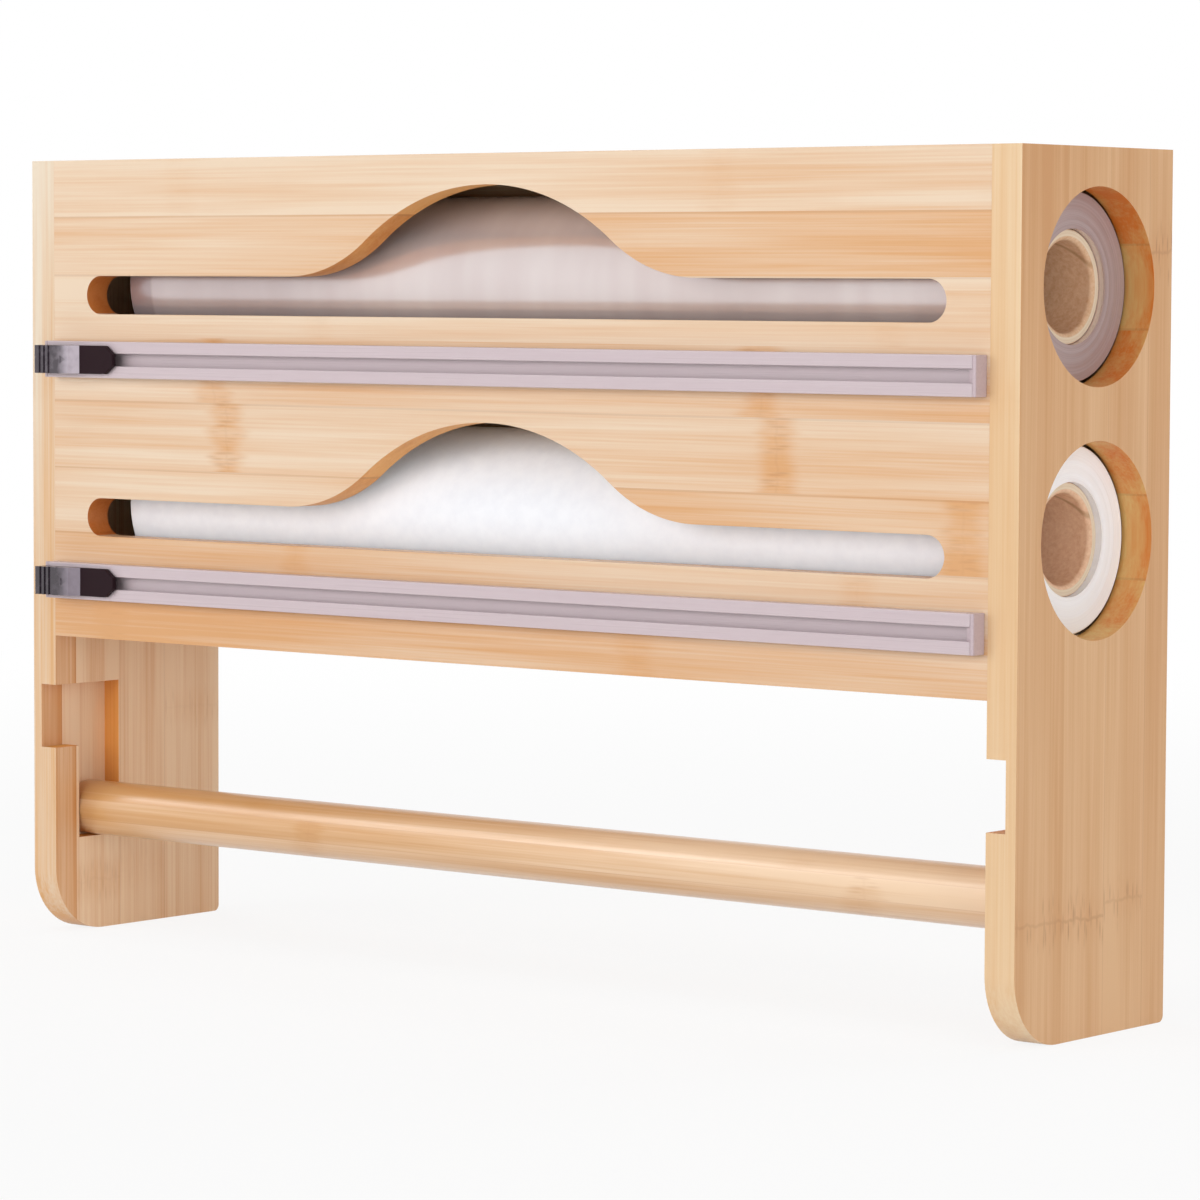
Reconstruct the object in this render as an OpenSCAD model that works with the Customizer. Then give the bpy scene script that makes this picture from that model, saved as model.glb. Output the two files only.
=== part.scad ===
// Bamboo kitchen wrap dispenser: two wrap rolls behind a slotted front panel, a slide cutter
// under each slot, and a towel rod that lifts out of two pockets below.
// +X runs to the right, -Y is the front, +Z is up, and the case stands on Z = 0.

/* [Rolls] */
// Diameter of a wrap roll
wrap_d = 54; // [48:1:60]
// Length of a wrap roll and of its core
roll_len = 342; // [300:1:400]
// Outer diameter of the cardboard core
core_od = 32.5; // [28:0.5:40]
// Bore of the cardboard core
core_id = 26; // [20:0.5:27]
// Gap between a roll and the shelf it lies on
roll_seat_gap = 0.3; // [0.1:0.1:0.8]
// Gap between a roll's right end and the right side board
roll_right_gap = 1; // [0.5:0.5:8]
// Gap between a roll's left end and the left side board
roll_left_gap = 22; // [4:1:40]
// Gap between a roll and the front panel
roll_front_gap = 3; // [1:0.5:8]
// Gap between a roll and the back board
roll_back_gap = 4; // [1:0.5:10]
// Gap all round a roll in its loading port
port_clear = 1; // [0.5:0.25:3]

/* [Boards] */
// Thickness of the two side boards
side_t = 10; // [9:0.5:14]
// Thickness of the front panel
panel_t = 9; // [8:0.5:12]
// Thickness of the back board
back_t = 6; // [6:0.5:10]
// Thickness of the top board
top_t = 8; // [7:0.5:12]
// Thickness of the two shelves
shelf_t = 8; // [7:0.5:12]
// Height of the front panel's lower edge above the standing surface
panel_bottom = 97; // [94:1:140]
// Rise of the bottom shelf above the front panel's lower edge
shelf_raise = 7.7; // [0:0.1:15]
// Free height between the lower roll and the middle shelf
row_headroom = 8.7; // [4:0.1:20]
// Free height between the upper roll and the top board
top_headroom = 4; // [1:0.5:12]
// Radius of each side board's front foot corner
foot_front_r = 21; // [4:1:25]
// Radius of each side board's back foot corner
foot_back_r = 2; // [1:0.5:10]

/* [Film openings] */
// Height of each film slot
slot_h = 12.2; // [6:0.1:16]
// Drop of each film slot's centreline below its roll's axis
slot_drop = 4; // [0:0.5:8]
// Wood between a film slot's end and the panel's end
slot_margin = 14.8; // [14:0.1:30]
// Half width of the finger wave above each slot
wave_half = 80; // [70:1:110]
// Rise of the finger wave above its slot
wave_rise = 27.6; // [16:0.1:32]
// Radius of the finger wave's crest
wave_crest_r = 78; // [40:1:85]

/* [Towel rod] */
// Diameter of the towel rod
rod_d = 17.6; // [12:0.1:22]
// Height of the rod seat's floor above the standing surface
rod_seat_z = 30.5; // [26:0.5:40]
// Height from the seat's floor up to the front entry's floor
rod_rise = 30; // [15:1:35]
// Wood in front of the rod's seat
rod_lip = 10.5; // [6:0.5:20]
// Depth of the rod pockets in the side boards
pocket_depth = 6.5; // [4:0.5:7.5]
// Gap round the rod in its seat
rod_clear = 0.3; // [0.2:0.1:1]
// Gap above and below the rod in the front entry
entry_clear = 1.4; // [0.6:0.1:3]
// Gap between the rod's end and the pocket's floor
rod_end_clear = 0.5; // [0.2:0.1:2]
// Chamfer on the rod's ends
rod_chamfer = 1; // [0.4:0.1:2]

/* [Cutter track] */
// Height of the track
track_h = 11.6; // [10.5:0.1:14]
// Depth of the track, measured out from its tape
track_d = 4.6; // [4.2:0.1:8]
// Wall of the track
track_wall = 1.2; // [0.8:0.1:1.4]
// Width of the groove between the track's lips
groove_w = 4; // [3:0.1:5]
// Wood between a film slot and the track below it
track_gap = 8.6; // [4:0.1:10]
// Distance from the panel's end to the track's end cap
track_margin = 1; // [0:0.5:10]
// Thickness of the tape behind the track
tape_t = 0.8; // [0.4:0.1:1.2]
// Height of the tape behind the track
tape_h = 8; // [4:0.5:10]
// Thickness of an end cap outside the track
cap_t = 1.2; // [0.8:0.1:3]
// Length of an end cap's plug inside the track
cap_plug = 2; // [1:0.1:4]

/* [Cutter slider] */
// Length of the slider's base, with its pointed nose
slider_len = 32.5; // [28:0.5:45]
// Height of the slider's base
slider_h = 9; // [7:0.1:10]
// Length of the pointed nose's slope
nose_len = 3.6; // [1:0.1:6]
// Width of the nose's blunt tip
nose_w = 3.6; // [1:0.1:6]
// Thickness of the slider's base
base_t = 1.8; // [1.4:0.1:3]
// Length of the grip
grip_len = 18; // [14:0.5:22]
// Thickness of the grip
grip_t = 2.5; // [2:0.1:5]
// Length of the slope at the grip's end
grip_slope = 3; // [1:0.1:4]
// Number of finger grooves across the grip
rib_count = 3; // [1:1:4]
// Distance between neighbouring finger grooves
rib_pitch = 2; // [1.4:0.1:2.4]
// Length of the neck that passes between the track's lips
neck_len = 18; // [10:0.5:20]
// Running gap between slider and track
slide_clear = 0.3; // [0.2:0.05:0.35]
// Thickness of the blade
blade_t = 0.5; // [0.3:0.05:0.8]
// Length of the blade in front of the neck
blade_reach = 5; // [3:0.5:6]

/* [Fasteners] */
// Diameter of the joint dowels
dowel_d = 5; // [3:0.5:5.5]
// Length of the joint dowels
dowel_len = 19; // [14:0.5:20]
// Depth of a dowel in a side board
dowel_in_side = 6.5; // [4:0.5:8]
// Distance of the outer panel dowels from the panel's edge
panel_dowel_edge = 10; // [5:0.5:14]
// Distance of a shelf dowel from the shelf's front or back edge
shelf_dowel_edge = 13; // [6:0.5:18]
// Shank diameter of the back board screws
screw_d = 3; // [2:0.1:4]
// Head diameter of the back board screws
screw_head_d = 6; // [5:0.1:7]
// Length of the back board screws
screw_len = 20; // [14:1:30]
// Distance of the outer back board screws from the board's end
screw_margin = 32.5; // [20:0.5:60]
// Distance of a hanger plate's keyhole from the back board's end
hanger_margin = 62.5; // [45:0.5:90]
// Drop of the hanger plates' keyholes below the top of the case
hanger_drop = 34; // [28:1:60]
// Width of a hanger plate
plate_w = 16; // [14:0.5:24]
// Height of a hanger plate
plate_h = 44; // [40:1:60]
// Distance of a hanger plate's screws from the plate's ends
plate_screw_edge = 5; // [4:0.5:6]
// Thickness of a hanger plate
plate_t = 1.5; // [1:0.1:2]
// Diameter of the keyhole's round entry
keyhole_d = 9; // [7:0.5:10]
// Width of the keyhole's slot
keyhole_slot_w = 4.5; // [3:0.1:5]
// Length of the keyhole's slot, between centres
keyhole_slot_len = 8; // [6:0.5:9]
// Gap round a wall screw's head behind a plate
head_clear = 1; // [0.5:0.1:1.5]
// Depth of the room for a wall screw's head behind a plate
head_room = 3.2; // [2:0.1:3.6]
// Shank diameter of the hanger plate screws
plate_screw_d = 2.4; // [1.6:0.1:3]
// Head diameter of the hanger plate screws
plate_screw_head_d = 4.6; // [4:0.1:5.5]
// Length of the hanger plate screws
plate_screw_len = 4.8; // [4:0.1:5.4]
// Radial gap of a fixed piece in its hole
fit = 0.05; // [0.02:0.01:0.1]

/* [Hidden] */
$fn = 96;

// Cutting tools run this far past the faces they cut
over = 1;

// Case, sized round the two rolls
inner_w = roll_left_gap + roll_len + roll_right_gap;
inner_d = roll_front_gap + wrap_d + roll_back_gap;
side_d = panel_t + inner_d + back_t;
row_pitch = wrap_d + row_headroom + shelf_t + roll_seat_gap;
lower_axis_z = panel_bottom + shelf_raise + shelf_t + roll_seat_gap + wrap_d / 2;
upper_axis_z = lower_axis_z + row_pitch;
case_h = upper_axis_z + wrap_d / 2 + top_headroom + top_t;

// Depth: the slider grips stand proud of the boards, and Y = 0 is the middle of the whole depth
proud = tape_t + track_d + slide_clear + base_t + grip_t;
front_y = -(side_d + proud) / 2 + proud;
back_y = front_y + side_d;
shelf_front_y = front_y + panel_t;
shelf_back_y = back_y - back_t;
roll_y = shelf_front_y + roll_front_gap + wrap_d / 2;
roll_x = -inner_w / 2 + roll_left_gap;

// Undersides of the three boards that lie flat, and the board thickness at each
bottom_shelf_z = lower_axis_z - wrap_d / 2 - roll_seat_gap - shelf_t;
middle_shelf_z = bottom_shelf_z + row_pitch;
top_board_z = case_h - top_t;
flat_boards = [[bottom_shelf_z, shelf_t], [middle_shelf_z, shelf_t], [top_board_z, top_t]];

// Finger wave: a crest arc that runs into two flank arcs, tangent at the joints
wave_radii = (wave_half * wave_half + wave_rise * wave_rise) / (2 * wave_rise);
wave_flank_r = wave_radii - wave_crest_r;
wave_angle = atan2(wave_half, wave_radii - wave_rise);
wave_steps = 18;

// Towel rod and its pockets
pocket_w = rod_d + 2 * rod_clear;
entry_z = rod_seat_z + rod_rise;
entry_h = rod_d + 2 * entry_clear;
rod_len = inner_w + 2 * (pocket_depth - rod_end_clear);
rod_y = front_y + rod_lip + pocket_w / 2;
rod_z = rod_seat_z + rod_clear + rod_d / 2;

// Cutters: distances u are measured out from the panel's face
track_drop = slot_drop + slot_h / 2 + track_gap + track_h / 2;
cutter_x = -inner_w / 2 + track_margin;
cutter_len = inner_w - 2 * track_margin;
web_u = tape_t + track_wall;
lip_u = tape_t + track_d - track_wall;
face_u = tape_t + track_d;
base_u = face_u + slide_clear;
grip_u = base_u + base_t;
channel_h = track_h - 2 * track_wall;
shoe_inset = cap_t + cap_plug + slide_clear;
neck_end = shoe_inset + neck_len;
blade_fit = 0.04;
blade_root = 6;
blade_cover = 0.8;
peg_d = 3;
peg_h = 1.2;
peg_inset = 3;
peg_x = [peg_inset + rib_pitch, grip_len - grip_slope - peg_inset];
rib_w = 0.9;
rib_depth = 0.5;
rib_inset = 2.4;
mark_size = 2.4;
mark_depth = 0.4;
mark_x = grip_len - grip_slope - 1.5 * mark_size;

// Dowels: places as [y, z] on a side board
panel_dowel_z = [
    panel_bottom + panel_dowel_edge,
    (lower_axis_z + upper_axis_z) / 2 - slot_drop,
    case_h - panel_dowel_edge
];
panel_dowel_spots = [for (z = panel_dowel_z) [front_y + panel_t / 2, z]];
shelf_dowel_spots = [
    for (board = flat_boards, y = [shelf_front_y + shelf_dowel_edge, shelf_back_y - shelf_dowel_edge])
        [y, board[0] + board[1] / 2]
];

// Back fasteners
screw_x = inner_w / 2 - screw_margin;
screw_spots = [for (board = flat_boards, x = [-screw_x, 0, screw_x]) [x, board[0] + board[1] / 2]];
hanger_x = inner_w / 2 - hanger_margin;
hanger_z = case_h - hanger_drop;
plate_screw_z = [plate_screw_edge - plate_h / 2, plate_h / 2 - plate_screw_edge];
plate_screw_spots = [
    for (x = [-hanger_x, hanger_x], z = plate_screw_z) [x, hanger_z + z]
];
recess_w = 0.7;
recess_depth = 0.8;
recess_rim = 1.2;

// Extrudes an outline drawn in Y and Z along X
module along_x(length) {
    rotate([90, 0, 90]) linear_extrude(length) children();
}

// Extrudes an outline drawn in X and Z towards the back
module along_y(length) {
    translate([0, length, 0]) rotate([90, 0, 0]) linear_extrude(length) children();
}

// A block from one corner to the other
module block(low, high) {
    translate(low) cube(high - low);
}

// A block in front of the panel, between the distances u0 and u1 out from its face
module front_block(x0, x1, u0, u1, z0, z1) {
    block([x0, front_y - u1, z0], [x1, front_y - u0, z1]);
}

// A bar with round ends, from one point to another in its own plane
module round_bar(length, width) {
    translate([0, -width / 2]) square([length, width]);
    for (x = [0, length]) translate([x, 0]) circle(d = width);
}

// Side boards
module foot_corner(r) {
    difference() {
        translate([-over, -over]) square([r + over, r + over]);
        translate([r, r]) circle(r);
    }
}

module side_outline() {
    difference() {
        translate([front_y, 0]) square([side_d, case_h]);
        translate([front_y, 0]) foot_corner(foot_front_r);
        translate([back_y, 0]) mirror([1, 0]) foot_corner(foot_back_r);
    }
}

module pocket_outline() {
    seat_y = front_y + rod_lip;
    translate([front_y - over, entry_z]) square([rod_lip + pocket_w + over, entry_h]);
    translate([seat_y, rod_seat_z]) square([pocket_w, entry_z + entry_h - rod_seat_z]);
}

// A right side board with its rod pocket and blind dowel holes, without ports
module side_board() {
    inner_x = inner_w / 2;
    difference() {
        translate([inner_x, 0, 0]) along_x(side_t) side_outline();
        translate([inner_x - over, 0, 0]) along_x(pocket_depth + over) pocket_outline();
        for (spot = concat(panel_dowel_spots, shelf_dowel_spots))
            translate([inner_x - over, spot[0], spot[1]])
                rotate([0, 90, 0]) cylinder(h = dowel_in_side + over, d = dowel_d + 2 * fit);
    }
}

module left_side_board() {
    color("burlywood") mirror([1, 0, 0]) side_board();
}

module right_side_board() {
    color("burlywood") difference() {
        side_board();
        for (z = [lower_axis_z, upper_axis_z])
            translate([inner_w / 2 - over, roll_y, z])
                rotate([0, 90, 0]) cylinder(h = side_t + 2 * over, d = wrap_d + 2 * port_clear);
    }
}

// Front panel
function arc_points(centre, r, start, end) = [
    for (k = [1 : wave_steps])
        let (a = start + (end - start) * k / wave_steps)
            centre + r * [cos(a), sin(a)]
];

module wave_outline() {
    polygon(concat(
        [[wave_half, -slot_h / 2], [-wave_half, -slot_h / 2], [-wave_half, 0]],
        arc_points([-wave_half, wave_flank_r], wave_flank_r, -90, wave_angle - 90),
        arc_points([0, wave_rise - wave_crest_r], wave_crest_r, 90 + wave_angle, 90),
        arc_points([0, wave_rise - wave_crest_r], wave_crest_r, 90, 90 - wave_angle),
        arc_points([wave_half, wave_flank_r], wave_flank_r, -90 - wave_angle, -90)
    ));
}

module film_opening() {
    straight = inner_w - 2 * slot_margin - slot_h;
    translate([-straight / 2, 0]) round_bar(straight, slot_h);
    translate([0, slot_h / 2]) wave_outline();
}

// Blind holes in both ends of a board that is set between the side boards
module end_dowel_holes(spots) {
    depth = dowel_len - dowel_in_side;
    for (side = [-1, 1], spot = spots)
        translate([side * (inner_w / 2 - (depth - over) / 2), spot[0], spot[1]])
            rotate([0, 90, 0]) cylinder(h = depth + over, d = dowel_d + 2 * fit, center = true);
}

module front_panel() {
    color("wheat") difference() {
        block([-inner_w / 2, front_y, panel_bottom], [inner_w / 2, shelf_front_y, case_h]);
        for (z = [lower_axis_z, upper_axis_z])
            translate([0, front_y - over, z - slot_drop]) along_y(panel_t + 2 * over) film_opening();
        end_dowel_holes(panel_dowel_spots);
    }
}

// Boards that lie flat between the side boards
module flat_board(board) {
    difference() {
        block([-inner_w / 2, shelf_front_y, board[0]], [inner_w / 2, shelf_back_y, board[0] + board[1]]);
        end_dowel_holes(shelf_dowel_spots);
        for (spot = screw_spots)
            translate([spot[0], back_y, spot[1]]) screw_hole(screw_d, screw_len);
    }
}

module top_board() {
    color("burlywood") flat_board(flat_boards[2]);
}

module middle_shelf() {
    color("burlywood") flat_board(flat_boards[1]);
}

module bottom_shelf() {
    color("burlywood") flat_board(flat_boards[0]);
}

// Dowels, one at each spot on both sides
module dowels(spots) {
    for (side = [-1, 1], spot = spots)
        translate([side * (inner_w / 2 + dowel_in_side - dowel_len / 2), spot[0], spot[1]])
            rotate([0, 90, 0]) cylinder(h = dowel_len, d = dowel_d, center = true);
}

module panel_dowels() {
    color("tan") dowels(panel_dowel_spots);
}

module shelf_dowels() {
    color("tan") dowels(shelf_dowel_spots);
}

// Countersunk screw driven forwards from Y = 0, with a crossed recess in its head
module screw(shank_d, head_d, length) {
    head_h = (head_d - shank_d) / 2;
    difference() {
        rotate([90, 0, 0]) rotate_extrude() polygon([
            [0, 0], [head_d / 2, 0], [shank_d / 2, head_h], [shank_d / 2, length], [0, length]
        ]);
        for (turn = [0, 90])
            rotate([0, turn, 0]) cube([head_d - 2 * recess_rim, 2 * recess_depth, recess_w], center = true);
    }
}

module screw_hole(shank_d, length) {
    translate([0, over, 0]) rotate([90, 0, 0]) cylinder(h = length + over + fit, d = shank_d + 2 * fit);
}

module countersink(shank_d, head_d) {
    head_h = (head_d - shank_d) / 2;
    rotate([90, 0, 0]) rotate_extrude() polygon([
        [0, -over], [head_d / 2 + fit + over, -over], [shank_d / 2 + fit, head_h], [0, head_h]
    ]);
}

module back_board_screws() {
    color("silver") for (spot = screw_spots)
        translate([spot[0], back_y, spot[1]]) screw(screw_d, screw_head_d, screw_len);
}

// Hanger plates, let in flush with the back of the back board
module at_hangers() {
    for (x = [-hanger_x, hanger_x]) translate([x, 0, hanger_z]) children();
}

module plate_outline(grow) {
    straight = plate_h - plate_w;
    translate([0, -straight / 2]) rotate(90) round_bar(straight, plate_w + 2 * grow);
}

module keyhole_outline() {
    circle(d = keyhole_d);
    rotate(90) round_bar(keyhole_slot_len, keyhole_slot_w);
}

module head_room_outline() {
    rotate(90) round_bar(keyhole_slot_len, keyhole_d + 2 * head_clear);
}

module back_board() {
    color("wheat") difference() {
        block([-inner_w / 2, shelf_back_y, panel_bottom], [inner_w / 2, back_y, case_h]);
        for (spot = screw_spots) translate([spot[0], back_y, spot[1]]) {
            screw_hole(screw_d, screw_len);
            countersink(screw_d, screw_head_d);
        }
        at_hangers() translate([0, back_y - plate_t, 0]) along_y(plate_t + over) plate_outline(fit);
        at_hangers() translate([0, back_y - plate_t - head_room, 0])
            along_y(head_room + over) head_room_outline();
        for (spot = plate_screw_spots)
            translate([spot[0], back_y, spot[1]]) screw_hole(plate_screw_d, plate_screw_len);
    }
}

module hanger_plate(side) {
    difference() {
        translate([side * hanger_x, back_y - plate_t, hanger_z]) along_y(plate_t) difference() {
            plate_outline(0);
            keyhole_outline();
        }
        for (spot = plate_screw_spots) translate([spot[0], back_y, spot[1]]) {
            screw_hole(plate_screw_d, plate_screw_len);
            countersink(plate_screw_d, plate_screw_head_d);
        }
    }
}

module left_hanger_plate() {
    color("silver") hanger_plate(-1);
}

module right_hanger_plate() {
    color("silver") hanger_plate(1);
}

module hanger_plate_screws() {
    color("dimgray") for (spot = plate_screw_spots)
        translate([spot[0], back_y, spot[1]]) screw(plate_screw_d, plate_screw_head_d, plate_screw_len);
}

// Cutter track: a lipped channel on tape, with a cap in each end
module cutter_track(z) {
    x0 = cutter_x + cap_t;
    x1 = cutter_x + cutter_len - cap_t;
    difference() {
        front_block(x0, x1, tape_t, face_u, z - track_h / 2, z + track_h / 2);
        front_block(x0 - over, x1 + over, web_u, lip_u, z - channel_h / 2, z + channel_h / 2);
        front_block(x0 - over, x1 + over, web_u, face_u + over, z - groove_w / 2, z + groove_w / 2);
    }
}

module upper_cutter_track() {
    color("thistle") cutter_track(upper_axis_z - track_drop);
}

module lower_cutter_track() {
    color("thistle") cutter_track(lower_axis_z - track_drop);
}

module track_tape(z) {
    x0 = cutter_x + cap_t;
    x1 = cutter_x + cutter_len - cap_t;
    front_block(x0, x1, 0, tape_t, z - tape_h / 2, z + tape_h / 2);
}

module upper_track_tape() {
    color("white") track_tape(upper_axis_z - track_drop);
}

module lower_track_tape() {
    color("white") track_tape(lower_axis_z - track_drop);
}

// A left end cap with its plug, from the cutter's end
module track_end_cap(z) {
    plug_h = channel_h - 2 * fit;
    front_block(cutter_x, cutter_x + cap_t, 0, face_u, z - track_h / 2, z + track_h / 2);
    front_block(
        cutter_x + cap_t, cutter_x + cap_t + cap_plug,
        web_u + fit, lip_u - fit, z - plug_h / 2, z + plug_h / 2
    );
}

module track_end_caps(z) {
    track_end_cap(z);
    mirror([1, 0, 0]) track_end_cap(z);
}

module upper_track_end_caps() {
    color("thistle") track_end_caps(upper_axis_z - track_drop);
}

module lower_track_end_caps() {
    color("thistle") track_end_caps(lower_axis_z - track_drop);
}

// Slider base: a shoe in the channel, a neck between the lips and a plate with a pointed nose
module base_outline() {
    x1 = slider_len - nose_len;
    polygon([
        [0, -slider_h / 2], [x1, -slider_h / 2], [slider_len, -nose_w / 2],
        [slider_len, nose_w / 2], [x1, slider_h / 2], [0, slider_h / 2]
    ]);
}

module slider_pegs(z, gap) {
    for (x = peg_x)
        translate([cutter_x + x, front_y - grip_u - peg_h - gap, z])
            rotate([-90, 0, 0]) cylinder(h = peg_h + gap, d = peg_d + 2 * gap);
}

module slider_base(z) {
    shoe_h = channel_h - 2 * slide_clear;
    neck_w = groove_w - 2 * slide_clear;
    shoe_x = cutter_x + shoe_inset;
    shoe_end = cutter_x + slider_len - shoe_inset;
    neck_u = lip_u - slide_clear;
    difference() {
        union() {
            front_block(shoe_x, shoe_end, web_u + slide_clear, neck_u, z - shoe_h / 2, z + shoe_h / 2);
            front_block(shoe_x, shoe_x + neck_len, neck_u, base_u, z - neck_w / 2, z + neck_w / 2);
            translate([cutter_x, front_y - grip_u, z]) along_y(base_t) base_outline();
        }
        blade_slit(z);
    }
    slider_pegs(z, 0);
}

module upper_slider_base() {
    color("black") slider_base(upper_axis_z - track_drop);
}

module lower_slider_base() {
    color("black") slider_base(lower_axis_z - track_drop);
}

// Slider grip: a ribbed block with a sloped end and a plain direction mark
module grip_outline() {
    polygon([[0, 0], [grip_len, 0], [grip_len - grip_slope, -grip_t], [0, -grip_t]]);
}

module slider_grip(z) {
    grip_face = front_y - grip_u - grip_t;
    difference() {
        translate([cutter_x, front_y - grip_u, z - slider_h / 2]) linear_extrude(slider_h) grip_outline();
        slider_pegs(z, fit);
        for (x = [rib_inset : rib_pitch : rib_inset + (rib_count - 1) * rib_pitch])
            block(
                [cutter_x + x - rib_w / 2, grip_face - over, z - slider_h / 2 - over],
                [cutter_x + x + rib_w / 2, grip_face + rib_depth, z + slider_h / 2 + over]
            );
        translate([cutter_x + mark_x, grip_face - over, z]) along_y(mark_depth + over)
            polygon([[0, -mark_size / 2], [mark_size, 0], [0, mark_size / 2]]);
    }
}

module upper_slider_grip() {
    color("dimgray") slider_grip(upper_axis_z - track_drop);
}

module lower_slider_grip() {
    color("dimgray") slider_grip(lower_axis_z - track_drop);
}

// Blade: a slanted plate in a slit of the neck and base, drawn in X and in distance from the panel
module blade_outline(gap) {
    x0 = neck_end - blade_root;
    low = lip_u - slide_clear;
    high = base_u + base_t - blade_cover;
    polygon([
        [x0 - gap, -high - gap], [neck_end + blade_reach + gap, -high - gap],
        [neck_end + blade_reach + gap, -base_u], [neck_end + gap, -low], [x0 - gap, -low]
    ]);
}

module blade_slit(z) {
    width = blade_t + 2 * blade_fit;
    translate([cutter_x, front_y, z - width / 2]) linear_extrude(width) blade_outline(blade_fit);
}

module cutter_blade(z) {
    translate([cutter_x, front_y, z - blade_t / 2]) linear_extrude(blade_t) blade_outline(0);
}

module upper_cutter_blade() {
    color("gainsboro") cutter_blade(upper_axis_z - track_drop);
}

module lower_cutter_blade() {
    color("gainsboro") cutter_blade(lower_axis_z - track_drop);
}

// Rolls: a wrap wound on a cardboard core
module roll_tube(z, outer_d, inner_d) {
    translate([roll_x, roll_y, z]) rotate([0, 90, 0]) difference() {
        cylinder(h = roll_len, d = outer_d);
        translate([0, 0, -over]) cylinder(h = roll_len + 2 * over, d = inner_d);
    }
}

module upper_roll_core() {
    color("peru") roll_tube(upper_axis_z, core_od, core_id);
}

module lower_roll_core() {
    color("peru") roll_tube(lower_axis_z, core_od, core_id);
}

module film_winding() {
    color("lightgray") roll_tube(upper_axis_z, wrap_d, core_od + 2 * fit);
}

module parchment_winding() {
    color("white") roll_tube(lower_axis_z, wrap_d, core_od + 2 * fit);
}

// Towel rod, chamfered at both ends
module towel_rod() {
    r = rod_d / 2;
    color("burlywood") translate([-rod_len / 2, rod_y, rod_z]) rotate([0, 90, 0]) rotate_extrude() polygon([
        [0, 0], [r - rod_chamfer, 0], [r, rod_chamfer],
        [r, rod_len - rod_chamfer], [r - rod_chamfer, rod_len], [0, rod_len]
    ]);
}

left_side_board();
right_side_board();
front_panel();
back_board();
top_board();
middle_shelf();
bottom_shelf();
panel_dowels();
shelf_dowels();
back_board_screws();
left_hanger_plate();
right_hanger_plate();
hanger_plate_screws();
upper_cutter_track();
lower_cutter_track();
upper_track_tape();
lower_track_tape();
upper_track_end_caps();
lower_track_end_caps();
upper_slider_base();
lower_slider_base();
upper_slider_grip();
lower_slider_grip();
upper_cutter_blade();
lower_cutter_blade();
upper_roll_core();
lower_roll_core();
film_winding();
parchment_winding();
towel_rod();
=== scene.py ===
# %% [markdown]
# # A bamboo wrap dispenser
# The real object is a case of laminated bamboo boards. Two rolls of kitchen wrap lie behind a slotted
# front panel, a plastic cutter slides in a track under each slot, and a towel rod rests in two pockets
# below. The CAD model already holds every solid in its true place, so this lesson doesn't fit anything:
# it loads those solids as a fixed frame and gives each one its edges, its grain and its finish.

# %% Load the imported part
import math
import random

import bmesh
import bpy
from mathutils import Matrix, Vector


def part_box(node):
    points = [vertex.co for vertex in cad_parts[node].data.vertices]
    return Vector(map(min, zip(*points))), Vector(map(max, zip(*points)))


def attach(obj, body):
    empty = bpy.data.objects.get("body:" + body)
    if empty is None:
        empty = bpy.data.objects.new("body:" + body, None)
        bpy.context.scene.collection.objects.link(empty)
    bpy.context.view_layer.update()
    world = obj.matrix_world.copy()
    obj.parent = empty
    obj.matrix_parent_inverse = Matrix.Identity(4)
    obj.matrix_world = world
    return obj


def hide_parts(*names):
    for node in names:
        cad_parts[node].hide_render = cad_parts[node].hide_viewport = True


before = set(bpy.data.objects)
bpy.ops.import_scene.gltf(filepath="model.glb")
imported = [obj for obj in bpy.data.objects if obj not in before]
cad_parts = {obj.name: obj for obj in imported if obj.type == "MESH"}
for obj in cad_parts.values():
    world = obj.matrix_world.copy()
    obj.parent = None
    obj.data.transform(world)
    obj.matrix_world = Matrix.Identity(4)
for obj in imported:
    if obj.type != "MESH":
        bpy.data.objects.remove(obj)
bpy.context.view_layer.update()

# %% [markdown]
# ## Small tools
# Blender works in metres and linear colour, and a maker thinks in millimetres and in colours as a screen
# shows them. One value turns millimetres into metres, and one function turns a screen colour into linear
# light. Another adds a shader node with its settings and links, so each finish below reads like a recipe.
# Two more start a finish and join its results to its shader.
#
# Inputs go by number where a node has many. A Map Range node, for one, turns the range from input 1 to
# input 2 into the range from input 3 to input 4.

# %% Node kinds and settings that come often
MATH = "ShaderNodeMath"
VECTOR_MATH = "ShaderNodeVectorMath"
MAP_RANGE = "ShaderNodeMapRange"
MIX = "ShaderNodeMix"
NOISE = "ShaderNodeTexNoise"
BUMP = "ShaderNodeBump"
SCALE = {"operation": "SCALE"}
MULTIPLY = {"operation": "MULTIPLY"}
MULTIPLY_ADD = {"operation": "MULTIPLY_ADD"}
SUBTRACT = {"operation": "SUBTRACT"}
LARGER = {"operation": "MAXIMUM"}
ABSOLUTE = {"operation": "ABSOLUTE"}
WRAP = {"operation": "WRAP"}
LENGTH = {"operation": "LENGTH"}
ANGLE = {"operation": "ARCTAN2"}
COLOURS = {"data_type": "RGBA"}
SOFT_STEP = {"interpolation_type": "SMOOTHSTEP"}
UNCLAMPED = {"clamp": False}
# A Mix node's two colour inputs and its colour output
MIX_A, MIX_B, MIX_COLOUR = 6, 7, 2
# A noise stays near its middle, so most finishes stretch one of these spans of it
WIDE_SPAN = {1: 0.3, 2: 0.7}
NARROW_SPAN = {1: 0.35, 2: 0.65}

# %% Millimetres, colours and nodes
MM = 0.001
PER_METRE = 1000


def paint(hex_colour):
    """Turns a screen colour such as F0D6BA into the linear colour that a shader works with."""
    channels = [int(hex_colour[i:i + 2], 16) / 255 for i in (0, 2, 4)]
    linear = [c / 12.92 if c <= 0.04045 else ((c + 0.055) / 1.055) ** 2.4 for c in channels]
    return (*linear, 1.0)


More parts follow.
